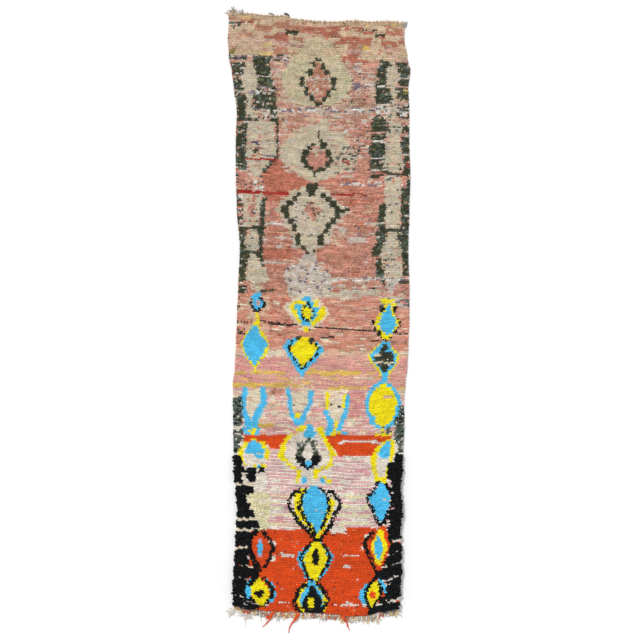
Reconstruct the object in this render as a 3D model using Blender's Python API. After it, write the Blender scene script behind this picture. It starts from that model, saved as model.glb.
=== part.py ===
"""A knotted runner rug, laid flat on a floor, with the fringes at its two ends.

The long side runs along Y, with the worn end at +Y, and the pile faces up. The rug lies on the plane
z = 0, with the origin on its underside near the middle of the cloth. Units are metres.
"""

import math
import random
from collections import namedtuple

import bmesh
import bpy

# Grid of the cloth: the spacing of its points across and along
ACROSS_CELLS = 27
ALONG_CELLS = 136
SHOULDER = 0.010
SHOULDER_HEIGHT = 0.62
RIM_TUCK = 0.0015

# Broad waves in the cloth: their height for each unit of unevenness, and how often they come
WAVE_SHARE = 0.8
WAVE_ACROSS = (21.0, 9.0)
WAVE_ALONG = (7.0, 17.0)

# Shag down both sides of the lower third
SHAG_START = -0.66
SHAG_FADE = 0.05
SHAG_LEFT_WIDTH = 0.115
SHAG_RIGHT_WIDTH = 0.080
SHAG_SLOPE = 1.5
SHAG_RISE = 0.0070
SHAG_LUMP = 0.0036

# Rim: how far it wanders, and how much further where there is shag
RIM_WANDER = 0.0010
SHAG_WANDER = 0.0022
LONG_WANDER = 61.0
SHORT_WANDER = 139.0

# Locks at the rim of the shag
LOCK_REACH = 0.0065
LOCK_UNEVEN = 0.3
LOCK_SWAY = 0.003
LOCK_TAPER = 0.45
LOCK_DROP = 0.55
LOCK_SKIPPED = 0.3

# Fringes: a strip that's parted from the cloth by a gap, and short locks drawn out of its warps
GAP = 0.0004
WARPS_PER_CELL = 4
STRIP_EVEN = 0.86
STRIP_THICKNESS = (0.75, 1.1)
INNER_THICKNESS = 0.9
OUTER_THICKNESS = 0.7
SHORT_SWAY = 0.001
SHORT_TAPER = 0.6
SHORT_DROP = 0.7
STRAIGHT_SHARE = 0.3
STRAIGHT_MOST = 0.016

# The cloth's two long edges: height along the rug, left edge, right edge
SIDES = (
    (1.490, -0.455, 0.425),
    (1.380, -0.460, 0.420),
    (1.300, -0.455, 0.435),
    (1.220, -0.440, 0.450),
    (1.140, -0.430, 0.440),
    (1.020, -0.415, 0.445),
    (0.860, -0.420, 0.445),
    (0.700, -0.420, 0.450),
    (0.540, -0.415, 0.445),
    (0.340, -0.400, 0.440),
    (0.140, -0.408, 0.445),
    (-0.020, -0.415, 0.445),
    (-0.140, -0.420, 0.440),
    (-0.260, -0.425, 0.435),
    (-0.340, -0.435, 0.425),
    (-0.420, -0.435, 0.418),
    (-0.540, -0.433, 0.420),
    (-0.740, -0.430, 0.410),
    (-0.860, -0.420, 0.400),
    (-0.980, -0.410, 0.408),
    (-1.060, -0.418, 0.398),
    (-1.220, -0.423, 0.405),
    (-1.380, -0.433, 0.398),
    (-1.460, -0.430, 0.390),
)

# The cloth's two ends: share of the width from the left edge, head edge, foot edge
ENDS = (
    (0.0, 1.5025, -1.4450),
    (0.1, 1.5075, -1.4625),
    (0.2, 1.4975, -1.4725),
    (0.3, 1.4950, -1.4775),
    (0.4, 1.4750, -1.4800),
    (0.5, 1.4675, -1.4825),
    (0.6, 1.4650, -1.4875),
    (0.7, 1.4700, -1.5000),
    (0.8, 1.4650, -1.4975),
    (0.9, 1.4675, -1.4775),
    (1.0, 1.4575, -1.4600),
)

# Pile: height along the rug, thickness of the cloth with its pile, unevenness from point to point
PILE = (
    (1.500, 0.0060, 0.0005),
    (0.400, 0.0070, 0.0007),
    (-0.050, 0.0078, 0.0007),
    (-0.350, 0.0090, 0.0009),
    (-0.700, 0.0105, 0.0012),
    (-1.060, 0.0125, 0.0015),
    (-1.480, 0.0125, 0.0015),
)

# Tails at the foot: place across, how far one reaches past the strip, its lean, its width
FOOT_TAILS = (
    (-0.448, 0.016, -0.006, 1.0),
    (-0.378, 0.050, 0.008, 0.8),
    (-0.290, 0.026, 0.000, 0.7),
    (-0.257, 0.056, -0.028, 1.0),
    (-0.225, 0.020, 0.004, 0.7),
    (-0.128, 0.086, -0.028, 1.0),
    (-0.010, 0.022, 0.002, 0.7),
    (0.128, 0.046, 0.014, 1.0),
    (0.172, 0.024, 0.003, 0.8),
    (0.305, 0.034, 0.004, 0.7),
    (0.380, 0.022, 0.004, 0.9),
)

# Tufts at the head: place across, how far one reaches past the strip, its lean, its width
HEAD_TAILS = (
    (-0.452, 0.030, -0.004, 1.0),
    (-0.425, 0.036, 0.004, 0.9),
    (-0.390, 0.026, 0.004, 0.8),
    (-0.258, 0.014, -0.002, 0.9),
    (-0.170, 0.011, 0.006, 0.8),
    (0.075, 0.009, 0.002, 0.8),
    (0.345, 0.011, -0.002, 0.9),
    (0.400, 0.015, 0.002, 0.8),
)


# A fringe: its name, which way along Y it points, its strip's width and height, its tails,
# the share of its cells that have a short lock, the least and most that such a lock reaches,
# its colour and the seed of its unevenness
Fringe = namedtuple("Fringe", "name away strip height tails locked least most colour seed")
FRINGES = (
    Fringe("bottom_fringe", -1.0, 0.019, 0.0065, FOOT_TAILS, 0.8, 0.004, 0.015, (0.60, 0.52, 0.42), 23),
    Fringe("top_fringe", 1.0, 0.008, 0.0045, HEAD_TAILS, 0.3, 0.002, 0.005, (0.55, 0.46, 0.36), 37),
)


def read_table(rows, column, at):
    """The value of a column where the table's first column is `at`, eased between its rows."""
    ordered = sorted(rows)
    if at <= ordered[0][0]:
        return ordered[0][column]
    for low, high in zip(ordered, ordered[1:]):
        if at <= high[0]:
            share = (at - low[0]) / (high[0] - low[0])
            eased = (1.0 - math.cos(math.pi * share)) / 2.0
            return low[column] + (high[column] - low[column]) * eased
    return ordered[-1][column]


def smooth_step(value):
    """Eases from 0 to 1 as the value goes from 0 to 1."""
    held = min(1.0, max(0.0, value))
    return held * held * (3.0 - 2.0 * held)


def across_shares():
    """The columns of the cloth's grid as shares of its width, with a narrow shoulder at each edge."""
    shoulder = SHOULDER / (SIDES[0][2] - SIDES[0][1])
    inner = ACROSS_CELLS - 2
    even = [shoulder + (1.0 - 2.0 * shoulder) * i / inner for i in range(inner + 1)]
    return [0.0] + even + [1.0]


def place(share, along):
    """A point of the plan: `share` of the way across, `along` from the foot edge to the head edge."""
    foot = read_table(ENDS, 2, share)
    head = read_table(ENDS, 1, share)
    y = foot + (head - foot) * along
    left = read_table(SIDES, 1, y)
    right = read_table(SIDES, 2, y)
    return left + (right - left) * share, y


def shag_at(x, y):
    """How much of the shag there is at a point, from 0 to 1."""
    ends = smooth_step((SHAG_START - y) / SHAG_FADE)
    left = smooth_step(SHAG_SLOPE - (x - read_table(SIDES, 1, y)) / SHAG_LEFT_WIDTH)
    right = smooth_step(SHAG_SLOPE - (read_table(SIDES, 2, y) - x) / SHAG_RIGHT_WIDTH)
    return ends * max(left, right)


def pile_height(x, y, lumps):
    """Height of the pile at a point, with its broad waves, its lumps and the shag."""
    base = read_table(PILE, 1, y)
    uneven = read_table(PILE, 2, y)
    first = math.sin(x * WAVE_ACROSS[0] + y * WAVE_ALONG[0])
    wave = first * math.cos(y * WAVE_ALONG[1] - x * WAVE_ACROSS[1])
    shag = shag_at(x, y)
    lump = lumps.uniform(-1.0, 1.0)
    return base + uneven * (WAVE_SHARE * wave + lump) + shag * (SHAG_RISE + SHAG_LUMP * lump)


def edge_wander(y, side):
    """How far the rim stands out or in at a height, on the left (-1) or right (+1) side."""
    shag = smooth_step((SHAG_START - y) / SHAG_FADE)
    wander = math.sin(y * LONG_WANDER + 1.7 * side) + 0.6 * math.sin(y * SHORT_WANDER + 0.9 * side)
    return side * wander * (RIM_WANDER + SHAG_WANDER * shag)


def material(name, colour, roughness):
    """A plain cloth finish."""
    made = bpy.data.materials.new(name)
    made.use_nodes = True
    shader = made.node_tree.nodes["Principled BSDF"]
    shader.inputs["Base Color"].default_value = (*colour, 1.0)
    shader.inputs["Roughness"].default_value = roughness
    shader.inputs["Metallic"].default_value = 0.0
    return made


def finish_object(name, bm, finish):
    """Makes an object of one closed body from a bmesh, and gives it its finish."""
    bmesh.ops.recalc_face_normals(bm, faces=bm.faces)
    mesh = bpy.data.meshes.new(name)
    bm.to_mesh(mesh)
    bm.free()
    made = bpy.data.objects.new(name, mesh)
    bpy.context.collection.objects.link(made)
    mesh.materials.append(finish)
    return made


def close_below(bm, rim, tuck):
    """Walls from a rim's points down to a flat underside, a little further in. Returns the wall faces."""
    count = len(rim)
    low = []
    for index, top in enumerate(rim):
        before = rim[index - 1].co
        after = rim[(index + 1) % count].co
        run = (after - before).to_2d().normalized()
        low.append(bm.verts.new((top.co.x - run.y * tuck, top.co.y + run.x * tuck, 0.0)))
    walls = []
    for index, top in enumerate(rim):
        following = (index + 1) % count
        walls.append(bm.faces.new((low[index], low[following], rim[following], top)))
    bm.faces.new(list(reversed(low)))
    return walls


def pull_lock(bm, face, reach, taper, drop):
    """Draws a face out by `reach`, along x and y, into a lock with a drawn-in and lowered end."""
    pulled = bmesh.ops.extrude_discrete_faces(bm, faces=[face])["faces"][0]
    middle = pulled.calc_center_median()
    for vert in pulled.verts:
        vert.co.x = middle.x + (vert.co.x - middle.x) * taper + reach[0]
        vert.co.y = middle.y + (vert.co.y - middle.y) * taper + reach[1]
        vert.co.z *= drop
    return pulled


def make_rug():
    """The cloth: a lumpy slab with a flat underside, and locks down the shag's rims."""
    lumps = random.Random(11)
    shares = across_shares()
    last = len(shares) - 1
    bm = bmesh.new()
    grid = []
    for row in range(ALONG_CELLS + 1):
        line = []
        for column, share in enumerate(shares):
            x, y = place(share, row / ALONG_CELLS)
            z = pile_height(x, y, lumps)
            if column in (0, last):
                side = -1.0 if column == 0 else 1.0
                x += edge_wander(y, side)
                z *= SHOULDER_HEIGHT
            elif row in (0, ALONG_CELLS):
                z *= SHOULDER_HEIGHT
            line.append(bm.verts.new((x, y, z)))
        grid.append(line)
    for low, high in zip(grid, grid[1:]):
        for column in range(last):
            bm.faces.new((low[column], low[column + 1], high[column + 1], high[column]))
    right = [line[last] for line in grid[1:-1]]
    left = [line[0] for line in reversed(grid[1:-1])]
    rim = grid[0] + right + list(reversed(grid[-1])) + left
    walls = close_below(bm, rim, RIM_TUCK)
    right_walls = walls[last : last + ALONG_CELLS]
    left_walls = walls[2 * last + ALONG_CELLS :]
    for face in right_walls[2:] + left_walls[:-2]:
        pull_rim_lock(bm, face, lumps)
    return finish_object("rug", bm, material("knotted_wool", (0.52, 0.24, 0.17), 0.95))


def pull_rim_lock(bm, face, lumps):
    """Draws a lock out of a wall of the rim where there is shag, on two walls of every three or so."""
    middle = face.calc_center_median()
    if middle.y > SHAG_START or lumps.random() < LOCK_SKIPPED:
        return
    out = math.copysign(LOCK_REACH * lumps.uniform(1.0 - LOCK_UNEVEN, 1.0 + LOCK_UNEVEN), middle.x)
    pull_lock(bm, face, (out, lumps.uniform(-LOCK_SWAY, LOCK_SWAY)), LOCK_TAPER, LOCK_DROP)


def edge_points(head):
    """The cloth's head or foot edge, with several warps for each of its grid's cells."""
    ends = [place(share, 1.0 if head else 0.0) for share in across_shares()]
    ends[0] = (ends[0][0] + edge_wander(ends[0][1], -1.0), ends[0][1])
    ends[-1] = (ends[-1][0] + edge_wander(ends[-1][1], 1.0), ends[-1][1])
    points = [ends[1]]
    for start, stop in zip(ends[1:-1], ends[2:-1]):
        for part in range(1, WARPS_PER_CELL + 1):
            share = part / WARPS_PER_CELL
            points.append(tuple(a + (b - a) * share for a, b in zip(start, stop)))
    return points


def make_strip(bm, fringe, draws):
    """A narrow strip just off the cloth's edge. Returns its outer points and each cell's outer wall."""
    away = fringe.away
    inner = []
    outer = []
    for x, y in edge_points(away > 0.0):
        reach = fringe.strip * draws.uniform(STRIP_EVEN, 1.0)
        thick = fringe.height * draws.uniform(*STRIP_THICKNESS)
        inner.append(bm.verts.new((x, y + away * GAP, thick * INNER_THICKNESS)))
        outer.append(bm.verts.new((x, y + away * (GAP + reach), thick * OUTER_THICKNESS)))
    first, second = (inner, outer) if away > 0.0 else (outer, inner)
    for cell in range(len(inner) - 1):
        bm.faces.new((first[cell], first[cell + 1], second[cell + 1], second[cell]))
    walls = close_below(bm, first + list(reversed(second)), 0.0)
    number = {vert: cell for cell, vert in enumerate(outer)}
    by_cell = {}
    for face in walls:
        held = sorted(number[vert] for vert in face.verts if vert in number)
        if len(held) == 2:
            by_cell[held[0]] = face
    return outer, by_cell


def make_fringe(fringe):
    """A strip of knotted warp ends, with short locks and a few longer tails drawn out of it."""
    draws = random.Random(fringe.seed)
    bm = bmesh.new()
    outer, by_cell = make_strip(bm, fringe, draws)
    tailed = {nearest_cell(outer, tail[0]): tail for tail in fringe.tails}
    for cell, face in sorted(by_cell.items()):
        beside = any(cell + step in tailed for step in (-1, 1))
        if cell in tailed:
            pull_tail(bm, face, fringe.away, tailed[cell])
        elif not beside and draws.random() < fringe.locked:
            short = draws.uniform(fringe.least, fringe.most)
            sway = draws.uniform(-SHORT_SWAY, SHORT_SWAY)
            pull_lock(bm, face, (sway, fringe.away * short), SHORT_TAPER, SHORT_DROP)
    return finish_object(fringe.name, bm, material(fringe.name + "_yarn", fringe.colour, 0.9))


def nearest_cell(outer, x):
    """The cell of the strip that lies nearest a place across."""
    middles = [(a.co.x + b.co.x) / 2.0 for a, b in zip(outer, outer[1:])]
    return min(range(len(middles)), key=lambda cell: abs(middles[cell] - x))


def pull_tail(bm, face, away, tail):
    """Draws a longer tail out of the strip: straight past its neighbours, then leaning as it lies."""
    _, reach, lean, width = tail
    straight = min(STRAIGHT_SHARE * reach, STRAIGHT_MOST)
    half = (reach - straight) / 2.0
    face = pull_lock(bm, face, (0.0, away * straight), 0.85 * width, 0.85)
    face = pull_lock(bm, face, (0.6 * lean, away * half), 0.95, 0.9)
    pull_lock(bm, face, (0.4 * lean, away * half), 0.6, 0.8)


def main():
    """Clears the scene and makes the rug and its two fringes."""
    for old in list(bpy.data.objects):
        bpy.data.objects.remove(old, do_unlink=True)
    make_rug()
    for fringe in FRINGES:
        make_fringe(fringe)


main()
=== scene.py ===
"""The looks of a knotted runner rug, laid flat on a pale floor and seen from straight above.

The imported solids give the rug's place and size. Over them this script lays a ground cloth, ties the pile knot by
knot from a chart of the pattern, and adds the shag, the fringes and the yarn tails. Lengths are in metres. The
chart of the pattern is in centimetres, with x across the rug and y along it, from the same origin.
"""

import logging
import math
from dataclasses import dataclass, field
from enum import Enum

import bpy
import numpy as np
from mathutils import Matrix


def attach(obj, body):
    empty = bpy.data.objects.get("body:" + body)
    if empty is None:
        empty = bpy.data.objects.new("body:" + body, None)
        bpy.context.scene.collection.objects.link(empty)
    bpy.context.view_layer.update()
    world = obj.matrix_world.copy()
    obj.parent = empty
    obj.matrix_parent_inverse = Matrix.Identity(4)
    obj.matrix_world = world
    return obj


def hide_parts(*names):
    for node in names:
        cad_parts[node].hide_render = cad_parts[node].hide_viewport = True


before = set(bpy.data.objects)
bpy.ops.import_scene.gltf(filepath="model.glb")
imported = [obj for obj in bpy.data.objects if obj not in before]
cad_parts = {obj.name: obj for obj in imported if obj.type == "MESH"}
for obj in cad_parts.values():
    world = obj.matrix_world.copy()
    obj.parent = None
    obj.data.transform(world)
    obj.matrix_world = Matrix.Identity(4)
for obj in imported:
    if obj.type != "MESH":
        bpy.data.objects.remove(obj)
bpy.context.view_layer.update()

BODY = "root"
CENTIMETRE = 0.01
COLOUR_LAYER = "yarn_colour"
SIZE_LAYER = "tuft_size"
TURN_LAYER = "tuft_turn"
RADIUS_LAYER = "strand_radius"

log = logging.getLogger("runner_rug")


# Yarns

FADED = 0.23
WORN = 0.14
SOFT = 0.12
BRIGHT = 0.10
DYE_GAIN = 1.16


class Yarn(Enum):
    """The yarns: red, green and blue as sRGB numbers up to 255, and how uneven the dye is from knot to knot."""

    STRAW = (186, 163, 134, WORN)
    PALE_ROSE = (200, 172, 150, WORN)
    ROSE = (172, 124, 101, WORN)
    ROSE_RED = (172, 108, 88, WORN)
    SAND = (196, 174, 147, WORN)
    SAGE = (187, 178, 147, WORN)
    DUSTY = (184, 149, 133, FADED)
    SALMON = (188, 138, 120, FADED)
    CORAL = (186, 134, 117, FADED)
    DEEP_CORAL = (177, 111, 89, FADED)
    IVORY = (190, 179, 157, WORN)
    GREY_IVORY = (192, 182, 170, WORN)
    WARM_CORAL = (198, 139, 117, WORN)
    PEACH = (208, 172, 149, SOFT)
    ROSE_PINK = (204, 154, 144, SOFT)
    MAGENTA = (204, 146, 144, SOFT)
    MUSTARD = (207, 177, 94, SOFT)
    CREAM = (212, 200, 178, SOFT)
    PALE_CREAM = (211, 203, 191, SOFT)
    LEMON_CREAM = (213, 207, 168, SOFT)
    STRIPE_PINK = (206, 159, 162, SOFT)
    STRAW_YELLOW = (203, 178, 124, SOFT)
    OLIVE = (126, 120, 70, SOFT)
    MOSS = (96, 98, 68, FADED)
    YELLOW = (226, 211, 20, BRIGHT)
    BLUE = (79, 184, 222, BRIGHT)
    ORANGE = (208, 76, 24, BRIGHT)
    BLACK = (12, 14, 17, SOFT)
    CHARCOAL = (58, 61, 44, FADED)
    CHARCOAL_GREY = (86, 98, 90, FADED)
    VIOLET = (116, 104, 118, SOFT)
    NAVY = (66, 60, 95, SOFT)
    CRIMSON = (158, 42, 36, SOFT)
    WHITE = (210, 205, 199, SOFT)
    RUST = (140, 70, 55, WORN)
    GREY = (150, 150, 145, SOFT)
    LILAC = (176, 160, 190, SOFT)


YARNS = list(Yarn)
YARN_NUMBER = {yarn: number for number, yarn in enumerate(YARNS)}


def linear(value: float) -> float:
    """Turns one sRGB number of 0 to 255 into a linear one of 0 to 1."""
    share = value / 255.0
    if share <= 0.04045:
        return share / 12.92
    return ((share + 0.055) / 1.055) ** 2.4


def dye(yarn: Yarn) -> np.ndarray:
    """The linear colour of a yarn, with what its own small shadows will take away given back."""
    return np.array([linear(value) * DYE_GAIN for value in yarn.value[:3]])


# Plan of the cloth

# The cloth's two long edges: height along the rug, left edge, right edge
SIDES = (
    (1.490, -0.455, 0.425),
    (1.380, -0.460, 0.420),
    (1.300, -0.455, 0.435),
    (1.220, -0.440, 0.450),
    (1.140, -0.430, 0.440),
    (1.020, -0.415, 0.445),
    (0.860, -0.420, 0.445),
    (0.700, -0.420, 0.450),
    (0.540, -0.415, 0.445),
    (0.340, -0.400, 0.440),
    (0.140, -0.408, 0.445),
    (-0.020, -0.415, 0.445),
    (-0.140, -0.420, 0.440),
    (-0.260, -0.425, 0.435),
    (-0.340, -0.435, 0.425),
    (-0.420, -0.435, 0.418),
    (-0.540, -0.433, 0.420),
    (-0.740, -0.430, 0.410),
    (-0.860, -0.420, 0.400),
    (-0.980, -0.410, 0.408),
    (-1.060, -0.418, 0.398),
    (-1.220, -0.423, 0.405),
    (-1.380, -0.433, 0.398),
    (-1.460, -0.430, 0.390),
)

# The cloth's two ends: share of the width from the left edge, head edge, foot edge
ENDS = (
    (0.0, 1.5025, -1.4450),
    (0.1, 1.5075, -1.4625),
    (0.2, 1.4975, -1.4725),
    (0.3, 1.4950, -1.4775),
    (0.4, 1.4750, -1.4800),
    (0.5, 1.4675, -1.4825),
    (0.6, 1.4650, -1.4875),
    (0.7, 1.4700, -1.5000),
    (0.8, 1.4650, -1.4975),
    (0.9, 1.4675, -1.4775),
    (1.0, 1.4575, -1.4600),
)

# Pile: height along the rug, thickness of the cloth with its pile, unevenness, half height of a tuft
PILE = (
    (1.500, 0.0060, 0.0005, 0.0018),
    (0.400, 0.0070, 0.0007, 0.0020),
    (-0.050, 0.0078, 0.0007, 0.0024),
    (-0.350, 0.0090, 0.0009, 0.0028),
    (-0.700, 0.0105, 0.0012, 0.0032),
    (-1.060, 0.0125, 0.0015, 0.0036),
    (-1.480, 0.0125, 0.0015, 0.0036),
)

# How the knot rows lean: height along the rug, fall from the left edge to the right
LEAN = (
    (1.46, 0.0),
    (0.00, 0.025),
    (-0.34, 0.020),
    (-0.60, 0.0),
    (-1.44, 0.0),
)


def read_table(rows: tuple, column: int, at: np.ndarray) -> np.ndarray:
    """Reads a column of a table, eased between its rows.

    Args:
        rows: The table, whose first column is what `at` is looked up in.
        column: The column to read.
        at: Where to read it.

    Returns:
        The column's values at `at`.
    """
    table = np.array(sorted(rows))
    keys = table[:, 0]
    values = table[:, column]
    held = np.clip(at, keys[0], keys[-1])
    row = np.clip(np.searchsorted(keys, held) - 1, 0, len(keys) - 2)
    share = (held - keys[row]) / (keys[row + 1] - keys[row])
    eased = (1.0 - np.cos(np.pi * share)) / 2.0
    return values[row] + (values[row + 1] - values[row]) * eased


def smooth_step(value: np.ndarray) -> np.ndarray:
    """Eases from 0 to 1 as the value goes from 0 to 1."""
    held = np.clip(value, 0.0, 1.0)
    return held * held * (3.0 - 2.0 * held)


@dataclass(frozen=True)
class Plan:
    """The rug's outline, its uneven rows and the height of its pile."""

    hump_place: float = -0.185
    hump_width: float = 0.07
    hump_rise: float = 0.018
    hump_top: float = -0.37
    hump_foot: float = -0.59
    hump_fade: float = 0.12
    shag_start: float = -0.66
    shag_fade: float = 0.05
    shag_left: float = 0.115
    shag_right: float = 0.080
    shag_rise: float = 0.0070

    def place(self, share: np.ndarray, along: np.ndarray) -> tuple[np.ndarray, np.ndarray, np.ndarray]:
        """Finds points of the plan.

        Args:
            share: How far across, from 0 at the left edge to 1 at the right.
            along: How far along, from 0 at the foot to 1 at the head.

        Returns:
            x and y of the points, and their row's own height before it leans or bows.
        """
        share, along = np.broadcast_arrays(share, along)
        foot = read_table(ENDS, 2, share)
        head = read_table(ENDS, 1, share)
        level = foot + (head - foot) * along
        y = level - read_table(LEAN, 1, level) * (share - 0.5) + self.hump(share, level)
        left = read_table(SIDES, 1, y)
        right = read_table(SIDES, 2, y)
        return left + (right - left) * share, y, level

    def hump(self, share: np.ndarray, level: np.ndarray) -> np.ndarray:
        """How far the rows bow up near one place, where the weft was pulled."""
        across = read_table(SIDES, 1, level)
        x = across + (read_table(SIDES, 2, level) - across) * share
        bow = np.exp(-(((x - self.hump_place) / self.hump_width) ** 2))
        above = smooth_step(1.0 + (self.hump_top - level) / self.hump_fade)
        below = smooth_step(1.0 + (level - self.hump_foot) / self.hump_fade)
        return self.hump_rise * bow * above * below

    def shag(self, x: np.ndarray, y: np.ndarray) -> np.ndarray:
        """How much shag there is at a point, from 0 to 1."""
        ends = smooth_step((self.shag_start - y) / self.shag_fade)
        left = smooth_step(1.5 - (x - read_table(SIDES, 1, y)) / self.shag_left)
        right = smooth_step(1.5 - (read_table(SIDES, 2, y) - x) / self.shag_right)
        return ends * np.maximum(left, right)

    def pile_top(self, x: np.ndarray, y: np.ndarray) -> np.ndarray:
        """Height of the pile's top, with its broad waves and the shag's rise."""
        wave = np.sin(x * 21.0 + y * 7.0) * np.cos(y * 17.0 - x * 9.0)
        base = read_table(PILE, 1, y) + 0.8 * read_table(PILE, 2, y) * wave
        return base + self.shag(x, y) * self.shag_rise


# Chart of the pattern

KNOT_RUN = 0.9
STEP = 1.7
DASH_LENGTH = 2.6
DASH_SHARE = 0.6


@dataclass
class Chart:
    """The knots of the pile, row by row from the foot, and the yarn that each is tied with."""

    plan: Plan
    rows: int = 349
    columns: int = 108
    seed: int = 5
    share: np.ndarray = field(init=False)
    along: np.ndarray = field(init=False)
    x: np.ndarray = field(init=False)
    y: np.ndarray = field(init=False)
    level: np.ndarray = field(init=False)
    tied: np.ndarray = field(init=False)
    draws: np.random.Generator = field(init=False)

    def __post_init__(self) -> None:
        """Sets out the knots like bricks, each row half a step beside the last."""
        self.draws = np.random.default_rng(self.seed)
        row = np.arange(self.rows)[:, None]
        column = np.arange(self.columns)[None, :]
        brick = np.where(row % 2 == 0, 0.25, -0.25)
        self.share = (column + 0.5 + brick) / self.columns
        self.along = np.broadcast_to((row + 0.5) / self.rows, self.share.shape)
        x, y, level = self.plan.place(self.share, self.along)
        self.x = x / CENTIMETRE
        self.y = y / CENTIMETRE
        self.level = level / CENTIMETRE
        self.tied = np.zeros(self.share.shape, int)

    def tie(self, where: np.ndarray, yarn: Yarn) -> None:
        """Ties a yarn at the knots where the mask is true."""
        self.tied[where] = YARN_NUMBER[yarn]

    def ragged(self, amount: float) -> np.ndarray:
        """A shift for each row, so that the side of a block isn't straight."""
        return self.draws.uniform(-amount, amount, (self.rows, 1))

    def stepped(self, step: float) -> np.ndarray:
        """The knots' y in steps of a few rows, as an outline tied from a count of rows goes."""
        return (np.floor(self.y / step) + 0.5) * step

    def wear(self) -> np.ndarray:
        """How ragged the sides of a block are: more in the worn part than in the new."""
        return np.where(self.y > -10.0, 1.0, 0.6)

    def runs(self, left: float, right: float, run: float, width: int) -> np.ndarray:
        """The number of the run that each knot falls in, along its row.

        Args:
            left: Where the runs start.
            right: Where they end.
            run: The length of a run.
            width: How many runs there are numbers for.

        Returns:
            A whole number for each knot, up to width - 1.
        """
        start = self.draws.uniform(0.0, run, (self.rows, 1))
        stretch = self.draws.uniform(0.75, 1.3, (self.rows, 1))
        number = (np.clip(self.x, left, right) - left + start) / (run * stretch)
        return np.minimum(number.astype(int), width - 1)

    def row_noise(self, count: int) -> np.ndarray:
        """Noise that runs along the rows: smooth along each and unlike from row to row."""
        spots = np.linspace(0.0, 1.0, count)
        values = self.draws.normal(0.0, 1.0, (self.rows, count))
        return np.array([np.interp(share, spots, value) for share, value in zip(self.share, values)])

    def band_noise(self, count: int) -> np.ndarray:
        """Noise that changes slowly from row to row, as one batch of yarn follows another."""
        spots = np.linspace(0.0, 1.0, count)
        return np.interp(self.along, spots, self.draws.normal(0.0, 1.0, count))

    def colours(self) -> np.ndarray:
        """The linear colour of each knot, with uneven dye, streaks along the rows and slow changes."""
        dyes = np.array([dye(yarn) for yarn in YARNS])[self.tied]
        spread = np.array([yarn.value[3] for yarn in YARNS])[self.tied]
        knot = self.draws.normal(0.0, 1.0, self.tied.shape)
        factor = 1.0 + spread * (0.75 * knot + 0.75 * self.row_noise(22)) + 0.03 * self.band_noise(70)
        tint = self.draws.normal(0.0, 1.0, (*self.tied.shape, 3)) * spread[..., None] * 0.16
        return np.clip(dyes * (np.clip(factor, 0.45, 1.6)[..., None] + tint), 0.003, 0.98)


@dataclass(frozen=True)
class Field:
    """A band of one yarn right across the rug, whose ends follow the rows."""

    yarn: Yarn
    head: float
    foot: float

    def tie(self, chart: Chart) -> None:
        """Ties the band, with a little of it past its ends here and there."""
        wander = chart.row_noise(16) * 0.5
        chart.tie((chart.level + wander < self.head) & (chart.level + wander >= self.foot), self.yarn)


@dataclass(frozen=True)
class Patch:
    """A block of one yarn with ragged sides. It may fall from left to right."""

    yarn: Yarn
    left: float
    right: float
    head: float
    foot: float
    fall: float = 0.0

    def tie(self, chart: Chart) -> None:
        """Ties the block."""
        middle = (self.left + self.right) / 2.0
        width = self.right - self.left
        level = chart.y + self.fall * (chart.x - middle) / width
        amount = min(0.8, 0.12 * width) * chart.wear()
        left = chart.x > self.left + chart.ragged(1.0) * amount
        right = chart.x < self.right + chart.ragged(1.0) * amount
        chart.tie(left & right & (level < self.head) & (level > self.foot), self.yarn)


@dataclass(frozen=True)
class Taper:
    """A shape given by its width at a few heights: rows of height, left and right, from the head down."""

    yarn: Yarn
    rows: tuple
    step: float = STEP

    def tie(self, chart: Chart) -> None:
        """Ties the shape in steps of a few rows."""
        y = chart.stepped(self.step)
        table = np.array(self.rows[::-1])
        amount = 0.5 * chart.wear()
        left = np.interp(y, table[:, 0], table[:, 1]) + chart.ragged(1.0) * amount
        right = np.interp(y, table[:, 0], table[:, 2]) + chart.ragged(1.0) * amount
        held = (chart.y <= table[-1, 0] + 0.3) & (chart.y >= table[0, 0] - 0.3)
        chart.tie(held & (chart.x > left) & (chart.x < right), self.yarn)


@dataclass(frozen=True)
class Stroke:
    """A line of one yarn through a few points, tied in steps."""

    yarn: Yarn
    width: float
    points: tuple
    skipped: float = 0.0
    step: float = STEP

    def tie(self, chart: Chart) -> None:
        """Ties the line, with some of its knots left out if it's a broken one."""
        y = chart.stepped(self.step)
        near = np.full(chart.x.shape, np.inf)
        for start, stop in zip(self.points, self.points[1:]):
            run_x = stop[0] - start[0]
            run_y = stop[1] - start[1]
            share = ((chart.x - start[0]) * run_x + (y - start[1]) * run_y) / (run_x**2 + run_y**2)
            share = np.clip(share, 0.0, 1.0)
            away = np.hypot(chart.x - start[0] - share * run_x, y - start[1] - share * run_y)
            near = np.minimum(near, away)
        kept = chart.draws.random(chart.x.shape) >= self.skipped
        chart.tie(kept & (near + chart.ragged(0.15) < self.width / 2.0), self.yarn)


@dataclass(frozen=True)
class Ring:
    """One ring of a lozenge, filled to its middle: yarn, half width, reach up and down, and if it's dashed."""

    yarn: Yarn
    half: float
    up: float
    down: float
    dashed: bool = False


@dataclass(frozen=True)
class Lozenge:
    """A lozenge of rings inside one another, from the outside in. Roundness is 1 for straight sides, 2 for round."""

    x: float
    y: float
    roundness: float
    rings: tuple

    def tie(self, chart: Chart) -> None:
        """Ties the rings in steps, the outer ones first."""
        dx = np.abs(chart.x - self.x)
        dy = chart.stepped(STEP) - self.y
        for ring in self.rings:
            reach = np.where(dy > 0.0, ring.up, ring.down)
            size = (dx / ring.half) ** self.roundness + (np.abs(dy) / reach) ** self.roundness
            inside = size ** (1.0 / self.roundness) <= 1.0
            if ring.dashed:
                inside &= np.mod((dx - np.abs(dy)) / DASH_LENGTH, 1.0) < DASH_SHARE
            chart.tie(inside, ring.yarn)


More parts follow.
